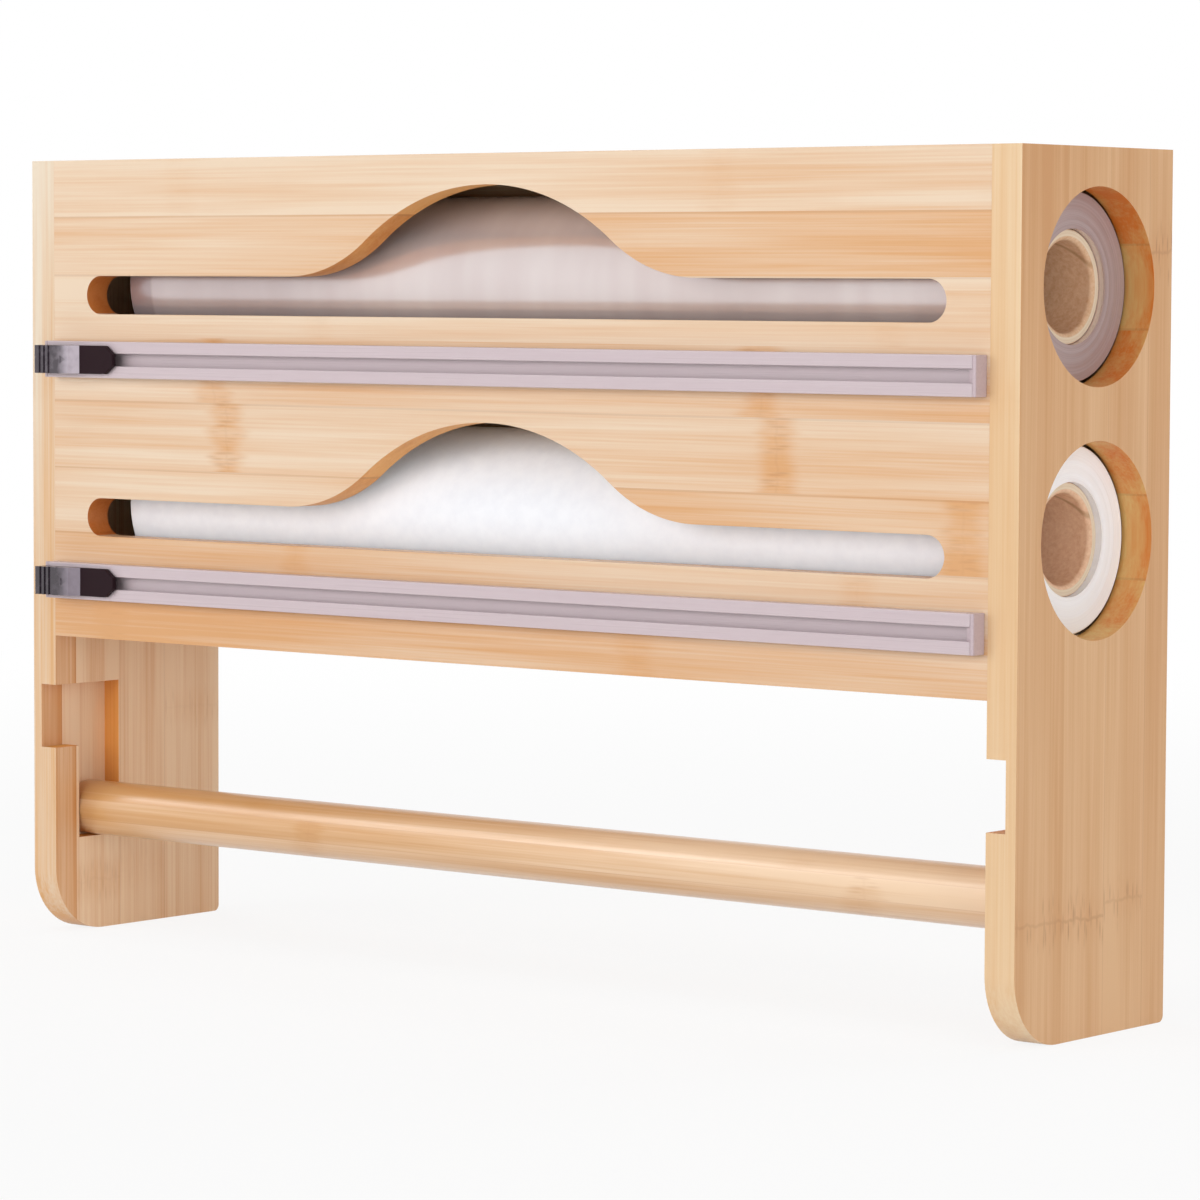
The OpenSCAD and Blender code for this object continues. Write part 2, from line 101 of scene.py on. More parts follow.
def add_node(tree, kind, settings=None, inputs=None):
    """Adds one shader node, applies its settings, and fills its inputs with numbers or links."""
    node = tree.nodes.new(kind)
    for key, value in (settings or {}).items():
        setattr(node, key, value)
    for key, value in (inputs or {}).items():
        if isinstance(value, bpy.types.NodeSocket):
            tree.links.new(value, node.inputs[key])
        else:
            node.inputs[key].default_value = value
    return node


def start_finish(name, **constants):
    """Starts a finish: its node tree, its shader with constant inputs, and the object's place in mm."""
    material = bpy.data.materials.new(name)
    material.use_nodes = True
    tree = material.node_tree
    tree.nodes.clear()
    inputs = {key.replace("_", " "): value for key, value in constants.items()}
    shader = add_node(tree, "ShaderNodeBsdfPrincipled", inputs=inputs)
    add_node(tree, "ShaderNodeOutputMaterial", inputs={0: shader.outputs[0]})
    place = add_node(tree, "ShaderNodeTexCoord").outputs["Object"]
    in_mm = add_node(tree, VECTOR_MATH, SCALE, {0: place, "Scale": PER_METRE}).outputs[0]
    return material, tree, shader, in_mm


def join_shader(tree, shader, **results):
    """Links a finish's results to its shader's inputs, such as Base_Color."""
    for key, result in results.items():
        tree.links.new(result, shader.inputs[key.replace("_", " ")])


print("the panel's pale bamboo in linear light:", [round(v, 3) for v in paint("E7D0B6")])

# %% [markdown]
# ## The bamboo
# A bamboo board isn't sawn from a trunk. The stalk is split into strips about 20 mm wide, and these are
# pressed side by side with glue. Three things tell the eye that: each strip has its own tone, fine straight
# fibres run along it, and where the stalk had a knuckle the strip carries a patch of short brown flecks.
# An image texture could show that on one board only. A node recipe in millimetres works on every board,
# turned to its own grain, and stays sharp at any distance.
#
# The recipe reads a chart of strips. A colour ramp holds it: at each strip's place, red is its tone, green
# is where its knuckle lies, blue shifts its fibres, so that no two strips run on into each other, and alpha
# says how plain the knuckle is, because the planer takes some of them off. A second ramp holds each strip's
# slope: a stalk is paler near its top, so a strip's tone changes slowly from one end to the other. On some
# boards the slope is painted shade instead: a darker top on the right side board and on the ports' walls, and
# a darker left end on the rod and on the panel's bottom strip.

# %% Sizes of the bamboo's marks
# Length and width of each mark in mm, and the noise's detail. Real fibre bundles are about 0.3 mm wide, and
# they are drawn coarser here so that they show.
GRAIN_MARKS = (
    ("fibre", 70, 0.7, 3),
    ("streak", 150, 3.2, 2),
    ("drift", 210, 15, 1),
    ("waver", 60, 5, 1),
)
GRAIN_ROUGHNESS = 0.6
TONE_SWINGS = (("drift", 0.3), ("streak", 0.2), ("fibre", 0.17))
FLECK_SIZE = (1 / 9, 1 / 1.1, 1 / 1.1)
FLECK_CORE, FLECK_RIM = 0.15, 0.45
JOINT_HALF_WIDTH = 0.13
JOINT_LEVEL = 0.16
KNUCKLE_CORE, KNUCKLE_REACH = 9, 16
KNUCKLE_RAG = 14
KNUCKLE_WAVER = 4
LINE_CORE, LINE_REACH = 0.1, 0.8
STRIP_SHIFT = 900
# A ramp holds nothing below zero, so a level strip is kept there as one half
LEVEL_SLOPE = 0.5
# Both ends of the boards in mm, for grain along X and along Z
BOARD_SPAN = {0: (-190, 190), 2: (0, 250)}
GLOSS_DROP, GLOSS_RISE = 0.06, 0.08


# %% A finish for laminated bamboo
def fill_ramp(node, stops):
    """Sets a colour ramp's stops, each a place and a colour, with hard steps between them."""
    ramp = node.color_ramp
    ramp.interpolation = "CONSTANT"
    while len(ramp.elements) < len(stops):
        ramp.elements.new(1.0)
    for element, (place, colour) in zip(ramp.elements, stops):
        element.position = place
    for element, (place, colour) in zip(ramp.elements, stops):
        element.color = colour


def bamboo_finish(name, grain, chart, colours, internode,
                  halo=0.42, flecked=0.2, lined=0.06, sheen=0.46, lacquer=0.12):
    """Laminated bamboo under satin lacquer: straw strips, silky fibres, brown knuckle flecks."""
    pale, deep, brown = (paint(c) for c in colours)
    material, tree, shader, in_mm = start_finish(name, IOR=1.5, Coat_Weight=lacquer, Coat_Roughness=0.3)
    split = add_node(tree, "ShaderNodeSeparateXYZ", inputs={0: in_mm}).outputs
    along, across, through = (split[axis] for axis in grain)

    # The chart of strips: tone, knuckle, shift and plainness, and the slope in a ramp of its own
    first, last = chart[0][0], chart[-1][0]
    share = add_node(tree, MAP_RANGE, inputs={0: across, 1: first, 2: last}).outputs[0]
    strips = add_node(tree, "ShaderNodeValToRGB", inputs={0: share})
    starts = [(row[0] - first) / (last - first) for row in chart[:-1]]
    fill_ramp(strips, [(start, row[1:5]) for start, row in zip(starts, chart)])
    slopes = add_node(tree, "ShaderNodeValToRGB", inputs={0: share})
    fill_ramp(slopes, [(start, (row[5] + LEVEL_SLOPE,) * 3 + (1,)) for start, row in zip(starts, chart)])
    tone, knuckle, shift = add_node(tree, "ShaderNodeSeparateColor", inputs={0: strips.outputs[0]}).outputs

    # Noise stretched along the grain, shifted from strip to strip
    moved = add_node(tree, MATH, MULTIPLY_ADD, {0: shift, 1: STRIP_SHIFT, 2: along}).outputs[0]
    place = add_node(tree, "ShaderNodeCombineXYZ", inputs={0: moved, 1: across, 2: through}).outputs[0]
    noises = {}
    for kind, length, width, detail in GRAIN_MARKS:
        shrink = (1 / length, 1 / width, 1 / width)
        drawn_out = add_node(tree, VECTOR_MATH, MULTIPLY, {0: place, 1: shrink}).outputs[0]
        looks = {"Vector": drawn_out, "Scale": 1, "Detail": detail, "Roughness": GRAIN_ROUGHNESS}
        noises[kind] = add_node(tree, NOISE, inputs=looks).outputs[0]

    # Knuckles: how far a point is from its strip's nearest one, along a wavering line with ragged sides
    start = add_node(tree, MATH, MULTIPLY_ADD, {0: knuckle, 1: -internode, 2: along}).outputs[0]
    wavering = add_node(
        tree, MATH, MULTIPLY_ADD, {0: noises["waver"], 1: KNUCKLE_WAVER, 2: start}).outputs[0]
    offset = add_node(
        tree, MATH, WRAP, {0: wavering, 1: internode / 2, 2: -internode / 2}).outputs[0]
    distance = add_node(tree, MATH, ABSOLUTE, {0: offset}).outputs[0]
    ragged = add_node(
        tree, MATH, MULTIPLY_ADD, {0: noises["streak"], 1: KNUCKLE_RAG, 2: distance}).outputs[0]
    near = add_node(
        tree, MAP_RANGE, SOFT_STEP,
        {0: ragged, 1: KNUCKLE_CORE, 2: KNUCKLE_REACH, 3: strips.outputs["Alpha"], 4: 0}).outputs[0]

    # Tone of each point: the strip's own and its slope, then drift, streaks, fibres and the knuckle's halo
    low_end, high_end = BOARD_SPAN[grain[0]]
    slope = add_node(tree, MATH, SUBTRACT, {0: slopes.outputs[0], 1: LEVEL_SLOPE}).outputs[0]
    progress = add_node(
        tree, MAP_RANGE, inputs={0: along, 1: low_end, 2: high_end, 3: -1, 4: 1}).outputs[0]
    tone = add_node(tree, MATH, MULTIPLY_ADD, {0: slope, 1: progress, 2: tone}).outputs[0]
    for kind, swing in TONE_SWINGS:
        part = add_node(
            tree, MAP_RANGE, UNCLAMPED,
            {0: noises[kind], **WIDE_SPAN, 3: -swing, 4: swing}).outputs[0]
        tone = add_node(tree, MATH, inputs={0: tone, 1: part}).outputs[0]
    if flecked:
        tone = add_node(tree, MATH, MULTIPLY_ADD, {0: near, 1: halo, 2: tone}).outputs[0]
    wood = add_node(
        tree, MIX, COLOURS, {0: tone, MIX_A: pale, MIX_B: deep}).outputs[MIX_COLOUR]

    # The knuckle's own marks: lens shaped flecks along the grain, and a thin line across it
    if flecked:
        drawn_out = add_node(tree, VECTOR_MATH, MULTIPLY, {0: place, 1: FLECK_SIZE}).outputs[0]
        cell = add_node(tree, "ShaderNodeTexVoronoi", inputs={"Vector": drawn_out, "Scale": 1})
        fleck = add_node(
            tree, MAP_RANGE,
            inputs={0: cell.outputs["Distance"], 1: FLECK_CORE, 2: FLECK_RIM, 3: flecked, 4: 0}).outputs[0]
        patch = add_node(tree, MATH, MULTIPLY, {0: near, 1: fleck}).outputs[0]
        thin = add_node(
            tree, MAP_RANGE, SOFT_STEP,
            {0: distance, 1: LINE_CORE, 2: LINE_REACH, 3: lined, 4: 0}).outputs[0]
        line = add_node(tree, MATH, MULTIPLY, {0: near, 1: thin}).outputs[0]
        marks = add_node(tree, MATH, LARGER, {0: patch, 1: line}).outputs[0]
        wood = add_node(
            tree, MIX, COLOURS, {0: marks, MIX_A: wood, MIX_B: brown}).outputs[MIX_COLOUR]

    # Glue joints: a hair of brown between two strips
    if len(chart) > 2:
        stops = [(0.0, (0, 0, 0, 1))]
        for edge, *_ in chart[1:-1]:
            for side, level in ((-1, JOINT_LEVEL), (1, 0.0)):
                stop = (edge + side * JOINT_HALF_WIDTH - first) / (last - first)
                stops.append((stop, (level, level, level, 1)))
        joints = add_node(tree, "ShaderNodeValToRGB", inputs={0: share})
        fill_ramp(joints, stops)
        wood = add_node(
            tree, MIX, COLOURS,
            {0: joints.outputs[0], MIX_A: wood, MIX_B: brown}).outputs[MIX_COLOUR]

    # Satin lacquer: fibres stand a few hundredths of a millimetre proud and break up the gloss
    fibre = noises["fibre"]
    gloss = add_node(
        tree, MAP_RANGE,
        inputs={0: fibre, **WIDE_SPAN, 3: sheen - GLOSS_DROP, 4: sheen + GLOSS_RISE}).outputs[0]
    relief = add_node(
        tree, BUMP, inputs={"Strength": 0.35, "Distance": 0.05 * MM, "Height": fibre}).outputs[0]
    join_shader(tree, shader, Base_Color=wood, Roughness=gloss, Normal=relief)
    return material


# %% [markdown]
# ## A chart for each board
# The boards that the photograph shows have charts listed one by one, and so has the rod. The front panel has
# a pale strip along its top, a warmer one under it, and its knuckles where they lie on the real panel. The
# right side board has most of its knuckles low down, near the foot. The boards inside the case draw their
# charts from a seeded random source, which gives a new chart for each board and the same charts on every run.

# %% Grain directions, internodes and colours
# The axis along the grain comes first, then the axis across the strips, then the board's thickness
ALONG_X = (0, 2, 1)
ALONG_X_FLAT = (0, 1, 2)
ALONG_Z = (2, 1, 0)
# Distances between a stalk's knuckles in mm
PANEL_INTERNODE = 215
LEFT_INTERNODE = 190
RIGHT_INTERNODE = 400
EDGE_INTERNODE = 260
# A pale colour, a deep one, and the brown of knuckles and joints
FACE_BAMBOO = ("E7D0B6", "D8A370", "965828")
RIGHT_BAMBOO = ("E6BA8B", "D39B66", "965228")
# The left board's palette is brighter and warmer than the panel's: partly the board's own tone, partly
# painted light for its shaded inner face
LEFT_BAMBOO = ("F4D3AF", "D69658", "965228")
LEFT_EDGE_BAMBOO = ("E6D6C0", "D8A368", "A8672F")
RIGHT_EDGE_BAMBOO = ("E8CDA8", "DCB180", "A8672F")
POCKET_CUT_BAMBOO = ("EBA85C", "D68434", "8E552B")
# The ports' cut walls; their deep colour also serves as painted shade towards each port's top
PORT_CUT_AND_SHADE_BAMBOO = ("E7C079", "DF7D2A", "8E552B")
WAVE_CUT_BAMBOO = ("F2B264", "DC8D3A", "8E552B")
# The slots' end walls: cut grain, made deeper still as painted shade where the slots' ends lie in shadow
END_CUT_AND_SHADE_BAMBOO = ("CF7F3F", "BC6321", "8E552B")
ROD_BAMBOO = ("E5C6A4", "C8965F", "A8672F")

# %% Charts of the strips
# Each row is one strip: its lower edge in mm, tone, knuckle, shift, plainness and slope. The last row is the
# board's other edge.
STRIP_WIDTH = 21
TONE_RANGE = (0.15, 0.75)
PLAIN_RANGE = (0.2, 1)
SLOPE_RANGE = (-0.15, 0.15)
WIDTH_RANGE = (0.9, 1.1)


def drawn_chart(seed, low, high):
    """A chart of strips drawn at random between two edges, in millimetres."""
    draw = random.Random(seed)
    chart = []
    edge = low
    while edge < high - STRIP_WIDTH / 2:
        tone = draw.uniform(*TONE_RANGE)
        plain = draw.uniform(*PLAIN_RANGE)
        slope = draw.uniform(*SLOPE_RANGE)
        chart.append((edge, tone, draw.random(), draw.random(), plain, slope))
        edge += STRIP_WIDTH * draw.uniform(*WIDTH_RANGE)
    return chart + [(high,)]


def spot(place, internode):
    """A knuckle's place along the board as a share of the stalk's internode."""
    return (place % internode) / internode


panel_chart = [
    # The bottom strip: its own deep tone, and a slope that deepens it towards the left, painted shade under
    # the lower track and its slider
    (97, 0.85, spot(60, PANEL_INTERNODE), 0.11, 0.3, -0.28),
    (109, 0.54, spot(-75, PANEL_INTERNODE), 0.62, 0.35, 0.0),
    (130.5, 0.56, spot(176, PANEL_INTERNODE), 0.27, 0.7, 0.12),
    (151.5, 0.36, spot(-104, PANEL_INTERNODE), 0.81, 1.0, 0.04),
    (173, 0.4, spot(-110, PANEL_INTERNODE), 0.43, 0.8, 0.15),
    (193.5, 0.2, spot(150, PANEL_INTERNODE), 0.95, 0.2, 0.12),
    (213, 0.66, spot(-20, PANEL_INTERNODE), 0.18, 0.0, 0.18),
    (231.5, 0.2, spot(90, PANEL_INTERNODE), 0.55, 0.15, 0.12),
    (250,),
]
# Its slopes deepen the strips towards the board's top: painted shade on the upper part of the side, where
# less light falls
right_chart = [
    (-33, 0.67, spot(36.5, RIGHT_INTERNODE), 0.21, 0.7, 0.25),
    (-10, 0.34, spot(36, RIGHT_INTERNODE), 0.74, 1.0, 0.1),
    (11, 0.34, spot(40, RIGHT_INTERNODE), 0.38, 0.7, 0.2),
    (31, 0.42, spot(223, RIGHT_INTERNODE), 0.9, 0.9, 0.1),
    (43,),
]
left_chart = [
    (-33, 0.88, spot(150, LEFT_INTERNODE), 0.31, 0.3, -0.1),
    (-24, 0.04, spot(18, LEFT_INTERNODE), 0.66, 0.8, -0.1),
    (-4, 0.16, spot(20, LEFT_INTERNODE), 0.12, 0.3, -0.1),
    (17, 0.2, spot(72, LEFT_INTERNODE), 0.83, 0.5, -0.1),
    (43,),
]
# The ports' walls have one even tone, and a slope that deepens them towards the top: painted shade on the
# upper half of each port's wall
port_tone_and_shade_chart = [
    (-33, 0.34, 0.5, 0.21, 0, 0.5),
    (-10, 0.34, 0.5, 0.74, 0, 0.5),
    (11, 0.34, 0.5, 0.38, 0, 0.5),
    (31, 0.34, 0.5, 0.9, 0, 0.5),
    (43,),
]
# Every strip slopes deeper towards the rod's left end: painted shade near the left pocket
rod_chart = [
    (30, 0.52, spot(-82, PANEL_INTERNODE), 0.33, 0.7, -0.38),
    (36.5, 0.46, spot(-80, PANEL_INTERNODE), 0.71, 1.0, -0.38),
    (43, 0.52, spot(110, PANEL_INTERNODE), 0.05, 0.3, -0.38),
    (49,),
]
left_edge_chart = [(-33, 0.45, 0.7, 0.4, 0.2, -0.45), (43,)]
right_edge_chart = [(-33, 0.4, 0.7, 0.4, 0.2, -0.05), (43,)]

# %% The bamboo finishes
bamboo = {
    "front_panel": bamboo_finish("bamboo_panel", ALONG_X, panel_chart, FACE_BAMBOO, PANEL_INTERNODE),
    "right_side_board": bamboo_finish(
        "bamboo_right_side", ALONG_Z, right_chart, RIGHT_BAMBOO, RIGHT_INTERNODE,
        halo=0.12, flecked=0.4, lined=0.22),
    "left_side_board": bamboo_finish(
        "bamboo_left_side", ALONG_Z, left_chart, LEFT_BAMBOO, LEFT_INTERNODE, halo=0.2),
    "towel_rod": bamboo_finish(
        "bamboo_rod", ALONG_X, rod_chart, ROD_BAMBOO, PANEL_INTERNODE,
        halo=0.25, lined=0.05, sheen=0.36, lacquer=0.8),
}
# Each board inside the case: its finish, its grain, its chart's seed, and both edges of its chart in mm
INNER_BOARDS = (
    ("back_board", "bamboo_back", ALONG_X, 8, 97, 250),
    ("top_board", "bamboo_top", ALONG_X_FLAT, 3, -24, 37),
    ("middle_shelf", "bamboo_middle_shelf", ALONG_X_FLAT, 12, -24, 37),
    ("bottom_shelf", "bamboo_bottom_shelf", ALONG_X_FLAT, 17, -24, 37),
)
for node, name, grain, seed, low, high in INNER_BOARDS:
    bamboo[node] = bamboo_finish(name, grain, drawn_chart(seed, low, high), FACE_BAMBOO, PANEL_INTERNODE)

edge_bamboo = {
    "left_side_board": bamboo_finish(
        "bamboo_left_edges", ALONG_Z, left_edge_chart, LEFT_EDGE_BAMBOO, EDGE_INTERNODE),
    "right_side_board": bamboo_finish(
        "bamboo_right_edges", ALONG_Z, right_edge_chart, RIGHT_EDGE_BAMBOO, EDGE_INTERNODE),
}
# Cut walls are duller and show no knuckles
CUT_SHEEN = 0.55
CUTS = (
    ("panel", ALONG_X, panel_chart, WAVE_CUT_BAMBOO, PANEL_INTERNODE),
    # The walls near the slots' ends: cut grain, and painted shade that makes them deeper still
    ("ends", ALONG_X, panel_chart, END_CUT_AND_SHADE_BAMBOO, PANEL_INTERNODE),
    ("side", ALONG_Z, right_chart, POCKET_CUT_BAMBOO, RIGHT_INTERNODE),
    ("ports", ALONG_Z, port_tone_and_shade_chart, PORT_CUT_AND_SHADE_BAMBOO, RIGHT_INTERNODE),
)
cut_bamboo = {}
for where, grain, chart, colours, internode in CUTS:
    cut_bamboo[where] = bamboo_finish(
        "bamboo_cut_" + where, grain, chart, colours, internode, flecked=0, sheen=CUT_SHEEN)
print("bamboo finishes:", len(bamboo) + len(edge_bamboo) + len(cut_bamboo))

# %% [markdown]
# ## Boards with softened edges
# No sanded board has a knife edge: a maker breaks its edges to a radius of about a millimetre, and that
# small round catches the light. The CAD solids stay sharp, because a bevel there would only slow the checks.
# So each board here is a copy of its CAD mesh. The copy's loose triangles are merged, its flat faces are
# dissolved back to whole faces, and its outward edges are bevelled. A Weighted Normal modifier then keeps
# the large faces flat and lets only the small rounds shade softly.

# %% Tools for softened copies
WELD = 0.002 * MM
FLAT_ANGLE = math.radians(0.3)
EDGE_ANGLE = math.radians(30)
CREASE_ANGLE = math.radians(50)
EDGE_STEPS = 3


def copy_of(node):
    """A bmesh copy of a CAD node, with its triangles merged back into whole flat faces."""
    bm = bmesh.new()
    bm.from_mesh(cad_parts[node].data)
    bmesh.ops.remove_doubles(bm, verts=bm.verts, dist=WELD)
    bmesh.ops.dissolve_limit(bm, angle_limit=FLAT_ANGLE, verts=bm.verts, edges=bm.edges)
    return bm


def soften(bm, width, steps=EDGE_STEPS, unsanded=()):
    """Rounds every outward edge of a bmesh, apart from those that no one sands."""
    sharp = [e for e in bm.edges if e.is_manifold and e.is_convex and e.calc_face_angle() > EDGE_ANGLE]
    sharp = [e for e in sharp if e not in unsanded]
    bmesh.ops.bevel(
        bm, geom=sharp, offset=width, offset_type="OFFSET", affect="EDGES", segments=steps,
        profile=0.5, material=-1, clamp_overlap=True, loop_slide=True)


def finish_piece(bm, name, body, nodes, finishes):
    """Makes a bmesh into a piece that rides on its body and stands for its CAD nodes."""
    mesh = bpy.data.meshes.new(name)
    for face in bm.faces:
        face.smooth = True
    bm.to_mesh(mesh)
    bm.free()
    for finish in finishes:
        mesh.materials.append(finish)
    mesh.set_sharp_from_angle(angle=CREASE_ANGLE)
    piece = bpy.data.objects.new(name, mesh)
    bpy.context.scene.collection.objects.link(piece)
    evened = piece.modifiers.new("even_faces", "WEIGHTED_NORMAL")
    evened.keep_sharp = True
    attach(piece, body)
    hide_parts(*nodes)
    print(name, "faces:", len(mesh.polygons), "on", body)
    return piece


# %% [markdown]
# The walls of the panel's slots are cut, so they get a finish of their own, and a deeper one near the slots'
# ends, which adds painted shade where the slots' ends lie in shadow. The slots' level floors keep the panel's
# finish. The boards inside the case go into a list, because one lamp will light only what lies in the shade
# behind the slots.

# %% The front panel and the boards inside the case
BOARD_ROUND = 0.9 * MM
INNER_ROUND = 0.5 * MM
INSIDE = 1.5 * MM
SLOT_END = 34 * MM
# How far a face's normal leans towards an axis before the face counts as facing that way
FACING = 0.4
FACING_UP = 0.97
WAVE_WALL, END_WALL = 1, 2

panel = copy_of("front_panel")
soften(panel, BOARD_ROUND)
low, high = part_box("front_panel")
for face in panel.faces:
    middle = face.calc_center_median()
    inside = all(low[i] + INSIDE < middle[i] < high[i] - INSIDE for i in (0, 2))
    if inside and abs(face.normal.y) < FACING and face.normal.z < FACING_UP:
        # Walls near the slots' ends take the deeper finish, painted shade where the ends lie in shadow
        at_end = min(middle.x - low.x, high.x - middle.x) < SLOT_END
        face.material_index = END_WALL if at_end else WAVE_WALL
finishes = [bamboo["front_panel"], cut_bamboo["panel"], cut_bamboo["ends"]]
finish_piece(panel, "front_panel_bamboo", "frame", ["front_panel"], finishes)

shaded_pieces = []
for node, *_ in INNER_BOARDS:
    board = copy_of(node)
    soften(board, INNER_ROUND)
    piece = finish_piece(board, node + "_bamboo", "frame", [node], [bamboo[node]])
    shaded_pieces.append(piece)

# %% [markdown]
# A side board has planed faces, narrow edges, and the cut walls of the rod pocket and the loading ports. Its
# edges inside the case are left sharp, because no one sands there.

# %% The side boards
FOOT_TOP = 25 * MM
PANEL_FOOT = 97 * MM
SIDE_FACE, SIDE_EDGE, POCKET_WALL, PORT_WALL = 0, 1, 2, 3

for node in ("left_side_board", "right_side_board"):
    board = copy_of(node)
    low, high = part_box(node)
    inner_x = high.x if node == "left_side_board" else low.x
    in_case = [
        e for e in board.edges
        if all(abs(v.co.x - inner_x) < WELD and PANEL_FOOT < v.co.z < high.z - INSIDE for v in e.verts)
        and all(low.y + INSIDE < v.co.y < high.y - INSIDE for v in e.verts)]
    print(node, "edges left sharp inside the case:", len(in_case))
    soften(board, BOARD_ROUND, unsanded=set(in_case))
    for face in board.faces:
        middle = face.calc_center_median()
        inside = low.y + INSIDE < middle.y < high.y - INSIDE and FOOT_TOP < middle.z < high.z - INSIDE
        if abs(face.normal.x) > FACING:
            face.material_index = SIDE_FACE
        elif inside:
            face.material_index = PORT_WALL if middle.z > PANEL_FOOT else POCKET_WALL
        else:
            face.material_index = SIDE_EDGE
    finishes = [bamboo[node], edge_bamboo[node], cut_bamboo["side"], cut_bamboo["ports"]]
    finish_piece(board, node + "_bamboo", "frame", [node], finishes)

# %% [markdown]
# ## The towel rod
# The rod is turned from the same bamboo. A lathe shape is one outline spun about an axis, so the outline is
# laid along X, at the rod's own height, with a small round at each end where the turner broke the edge.

# %% Turn the towel rod
LATHE_STEPS = 96
ROD_SHOULDER = 3


def turned(outline, axis_y, axis_z):
    """Spins an outline of (place along X, radius) pairs, in mm, about an axis along X."""
    bm = bmesh.new()
    rim = [bm.verts.new((x * MM, axis_y * MM, (axis_z + r) * MM)) for x, r in outline]
    edges = [bm.edges.new(pair) for pair in zip(rim, rim[1:])]
    bmesh.ops.spin(
        bm, geom=rim + edges, cent=(0, axis_y * MM, axis_z * MM), axis=(1, 0, 0), dvec=(0, 0, 0),
        angle=math.tau, steps=LATHE_STEPS, use_merge=True, use_duplicate=False)
    bmesh.ops.remove_doubles(bm, verts=bm.verts, dist=WELD)
    bmesh.ops.recalc_face_normals(bm, faces=bm.faces)
    return bm


def middle_of(node):
    """The middle of a CAD node in millimetres."""
    low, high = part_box(node)
    return (low + high) / 2 * PER_METRE


rod_low, rod_high = (corner * PER_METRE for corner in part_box("towel_rod"))
rod_r = (rod_high.z - rod_low.z) / 2
# One end from its middle outwards, as distance from the end and radius
rod_end = [
    (0, 0), (0, 3.5), (0, rod_r - 1.3), (0.12, rod_r - 0.85), (0.45, rod_r - 0.35), (1.1, rod_r - 0.04),
]
rod_outline = [(rod_low.x + x, r) for x, r in rod_end]
rod_outline += [(rod_low.x + ROD_SHOULDER, rod_r), (rod_high.x - ROD_SHOULDER, rod_r)]
rod_outline += [(rod_high.x - x, r) for x, r in reversed(rod_end)]
rod_middle = middle_of("towel_rod")
rod = turned(rod_outline, rod_middle.y, rod_middle.z)
rod_piece = finish_piece(
    rod, "towel_rod_bamboo", "towel_rod", ["towel_rod"], [bamboo["towel_rod"]])

# %% [markdown]
# ## Film, parchment and cardboard
# A roll of clear film looks silvery, not clear: dozens of layers each send back a little light, and together
# they act like a soft mirror. So the film's finish is half metallic, with faint bands where the layers wound
# on tighter or looser. Its last 10 mm at the left end are darker, and a longer stretch beyond them carries
# painted shade, where that part of the roll lies in shadow behind the panel. Baking parchment is the
# opposite, a matt white sheet with a cloudy formation. The core is wound cardboard, and the edge of its strip
# runs round the tube as a spiral seam.

# %% Wound film
# Length along the roll and width round it of each mark, in mm
FILM_MARKS = (("band", 14, 60), ("crease", 3, 26))
# Distances from the film's left end, in mm, over which the darker edge and the painted shade of the left part
# fade out
DULL_EDGE = (9, 11)
SHADED_LEFT_PART = (70, 110)
SHADED_LEFT_LEVEL = 0.4
FILM_GLOSS = {3: 0.19, 4: 0.25}


def film_finish(name, colour, band_colour, end_colour, end_x):
    """Wound clear polyethylene film: a soft silvery mirror with faint bands, darker at its left end, partly
    as painted shade.
    """
    material, tree, shader, in_mm = start_finish(name, Metallic=0.5, IOR=1.5)
    noises = {}
    for kind, length, width in FILM_MARKS:
        shrink = (1 / length, 1 / width, 1 / width)
        stretched = add_node(tree, VECTOR_MATH, MULTIPLY, {0: in_mm, 1: shrink}).outputs[0]
        looks = {"Vector": stretched, "Scale": 1, "Detail": 2, "Roughness": 0.55}
        noises[kind] = add_node(tree, NOISE, inputs=looks).outputs[0]
    share = add_node(tree, MAP_RANGE, inputs={0: noises["band"], **NARROW_SPAN}).outputs[0]
    banded = add_node(
        tree, MIX, COLOURS,
        {0: share, MIX_A: paint(colour), MIX_B: paint(band_colour)}).outputs[MIX_COLOUR]
    along = add_node(tree, "ShaderNodeSeparateXYZ", inputs={0: in_mm}).outputs[0]
    # The darker edge, then painted shade over the film's left part
    fades = []
    for (start, stop), level in ((DULL_EDGE, 1), (SHADED_LEFT_PART, SHADED_LEFT_LEVEL)):
        fade = {0: along, 1: end_x + start, 2: end_x + stop, 3: level, 4: 0}
        fades.append(add_node(tree, MAP_RANGE, inputs=fade).outputs[0])
    darkened_left = add_node(tree, MATH, LARGER, {0: fades[0], 1: fades[1]}).outputs[0]
    film = add_node(
        tree, MIX, COLOURS,
        {0: darkened_left, MIX_A: banded, MIX_B: paint(end_colour)}).outputs[MIX_COLOUR]
    crease = noises["crease"]
    gloss = add_node(tree, MAP_RANGE, inputs={0: crease, **WIDE_SPAN, **FILM_GLOSS}).outputs[0]
    relief = add_node(
        tree, BUMP, inputs={"Strength": 0.08, "Distance": 0.05 * MM, "Height": crease}).outputs[0]
    join_shader(tree, shader, Base_Color=film, Roughness=gloss, Normal=relief)
    return material


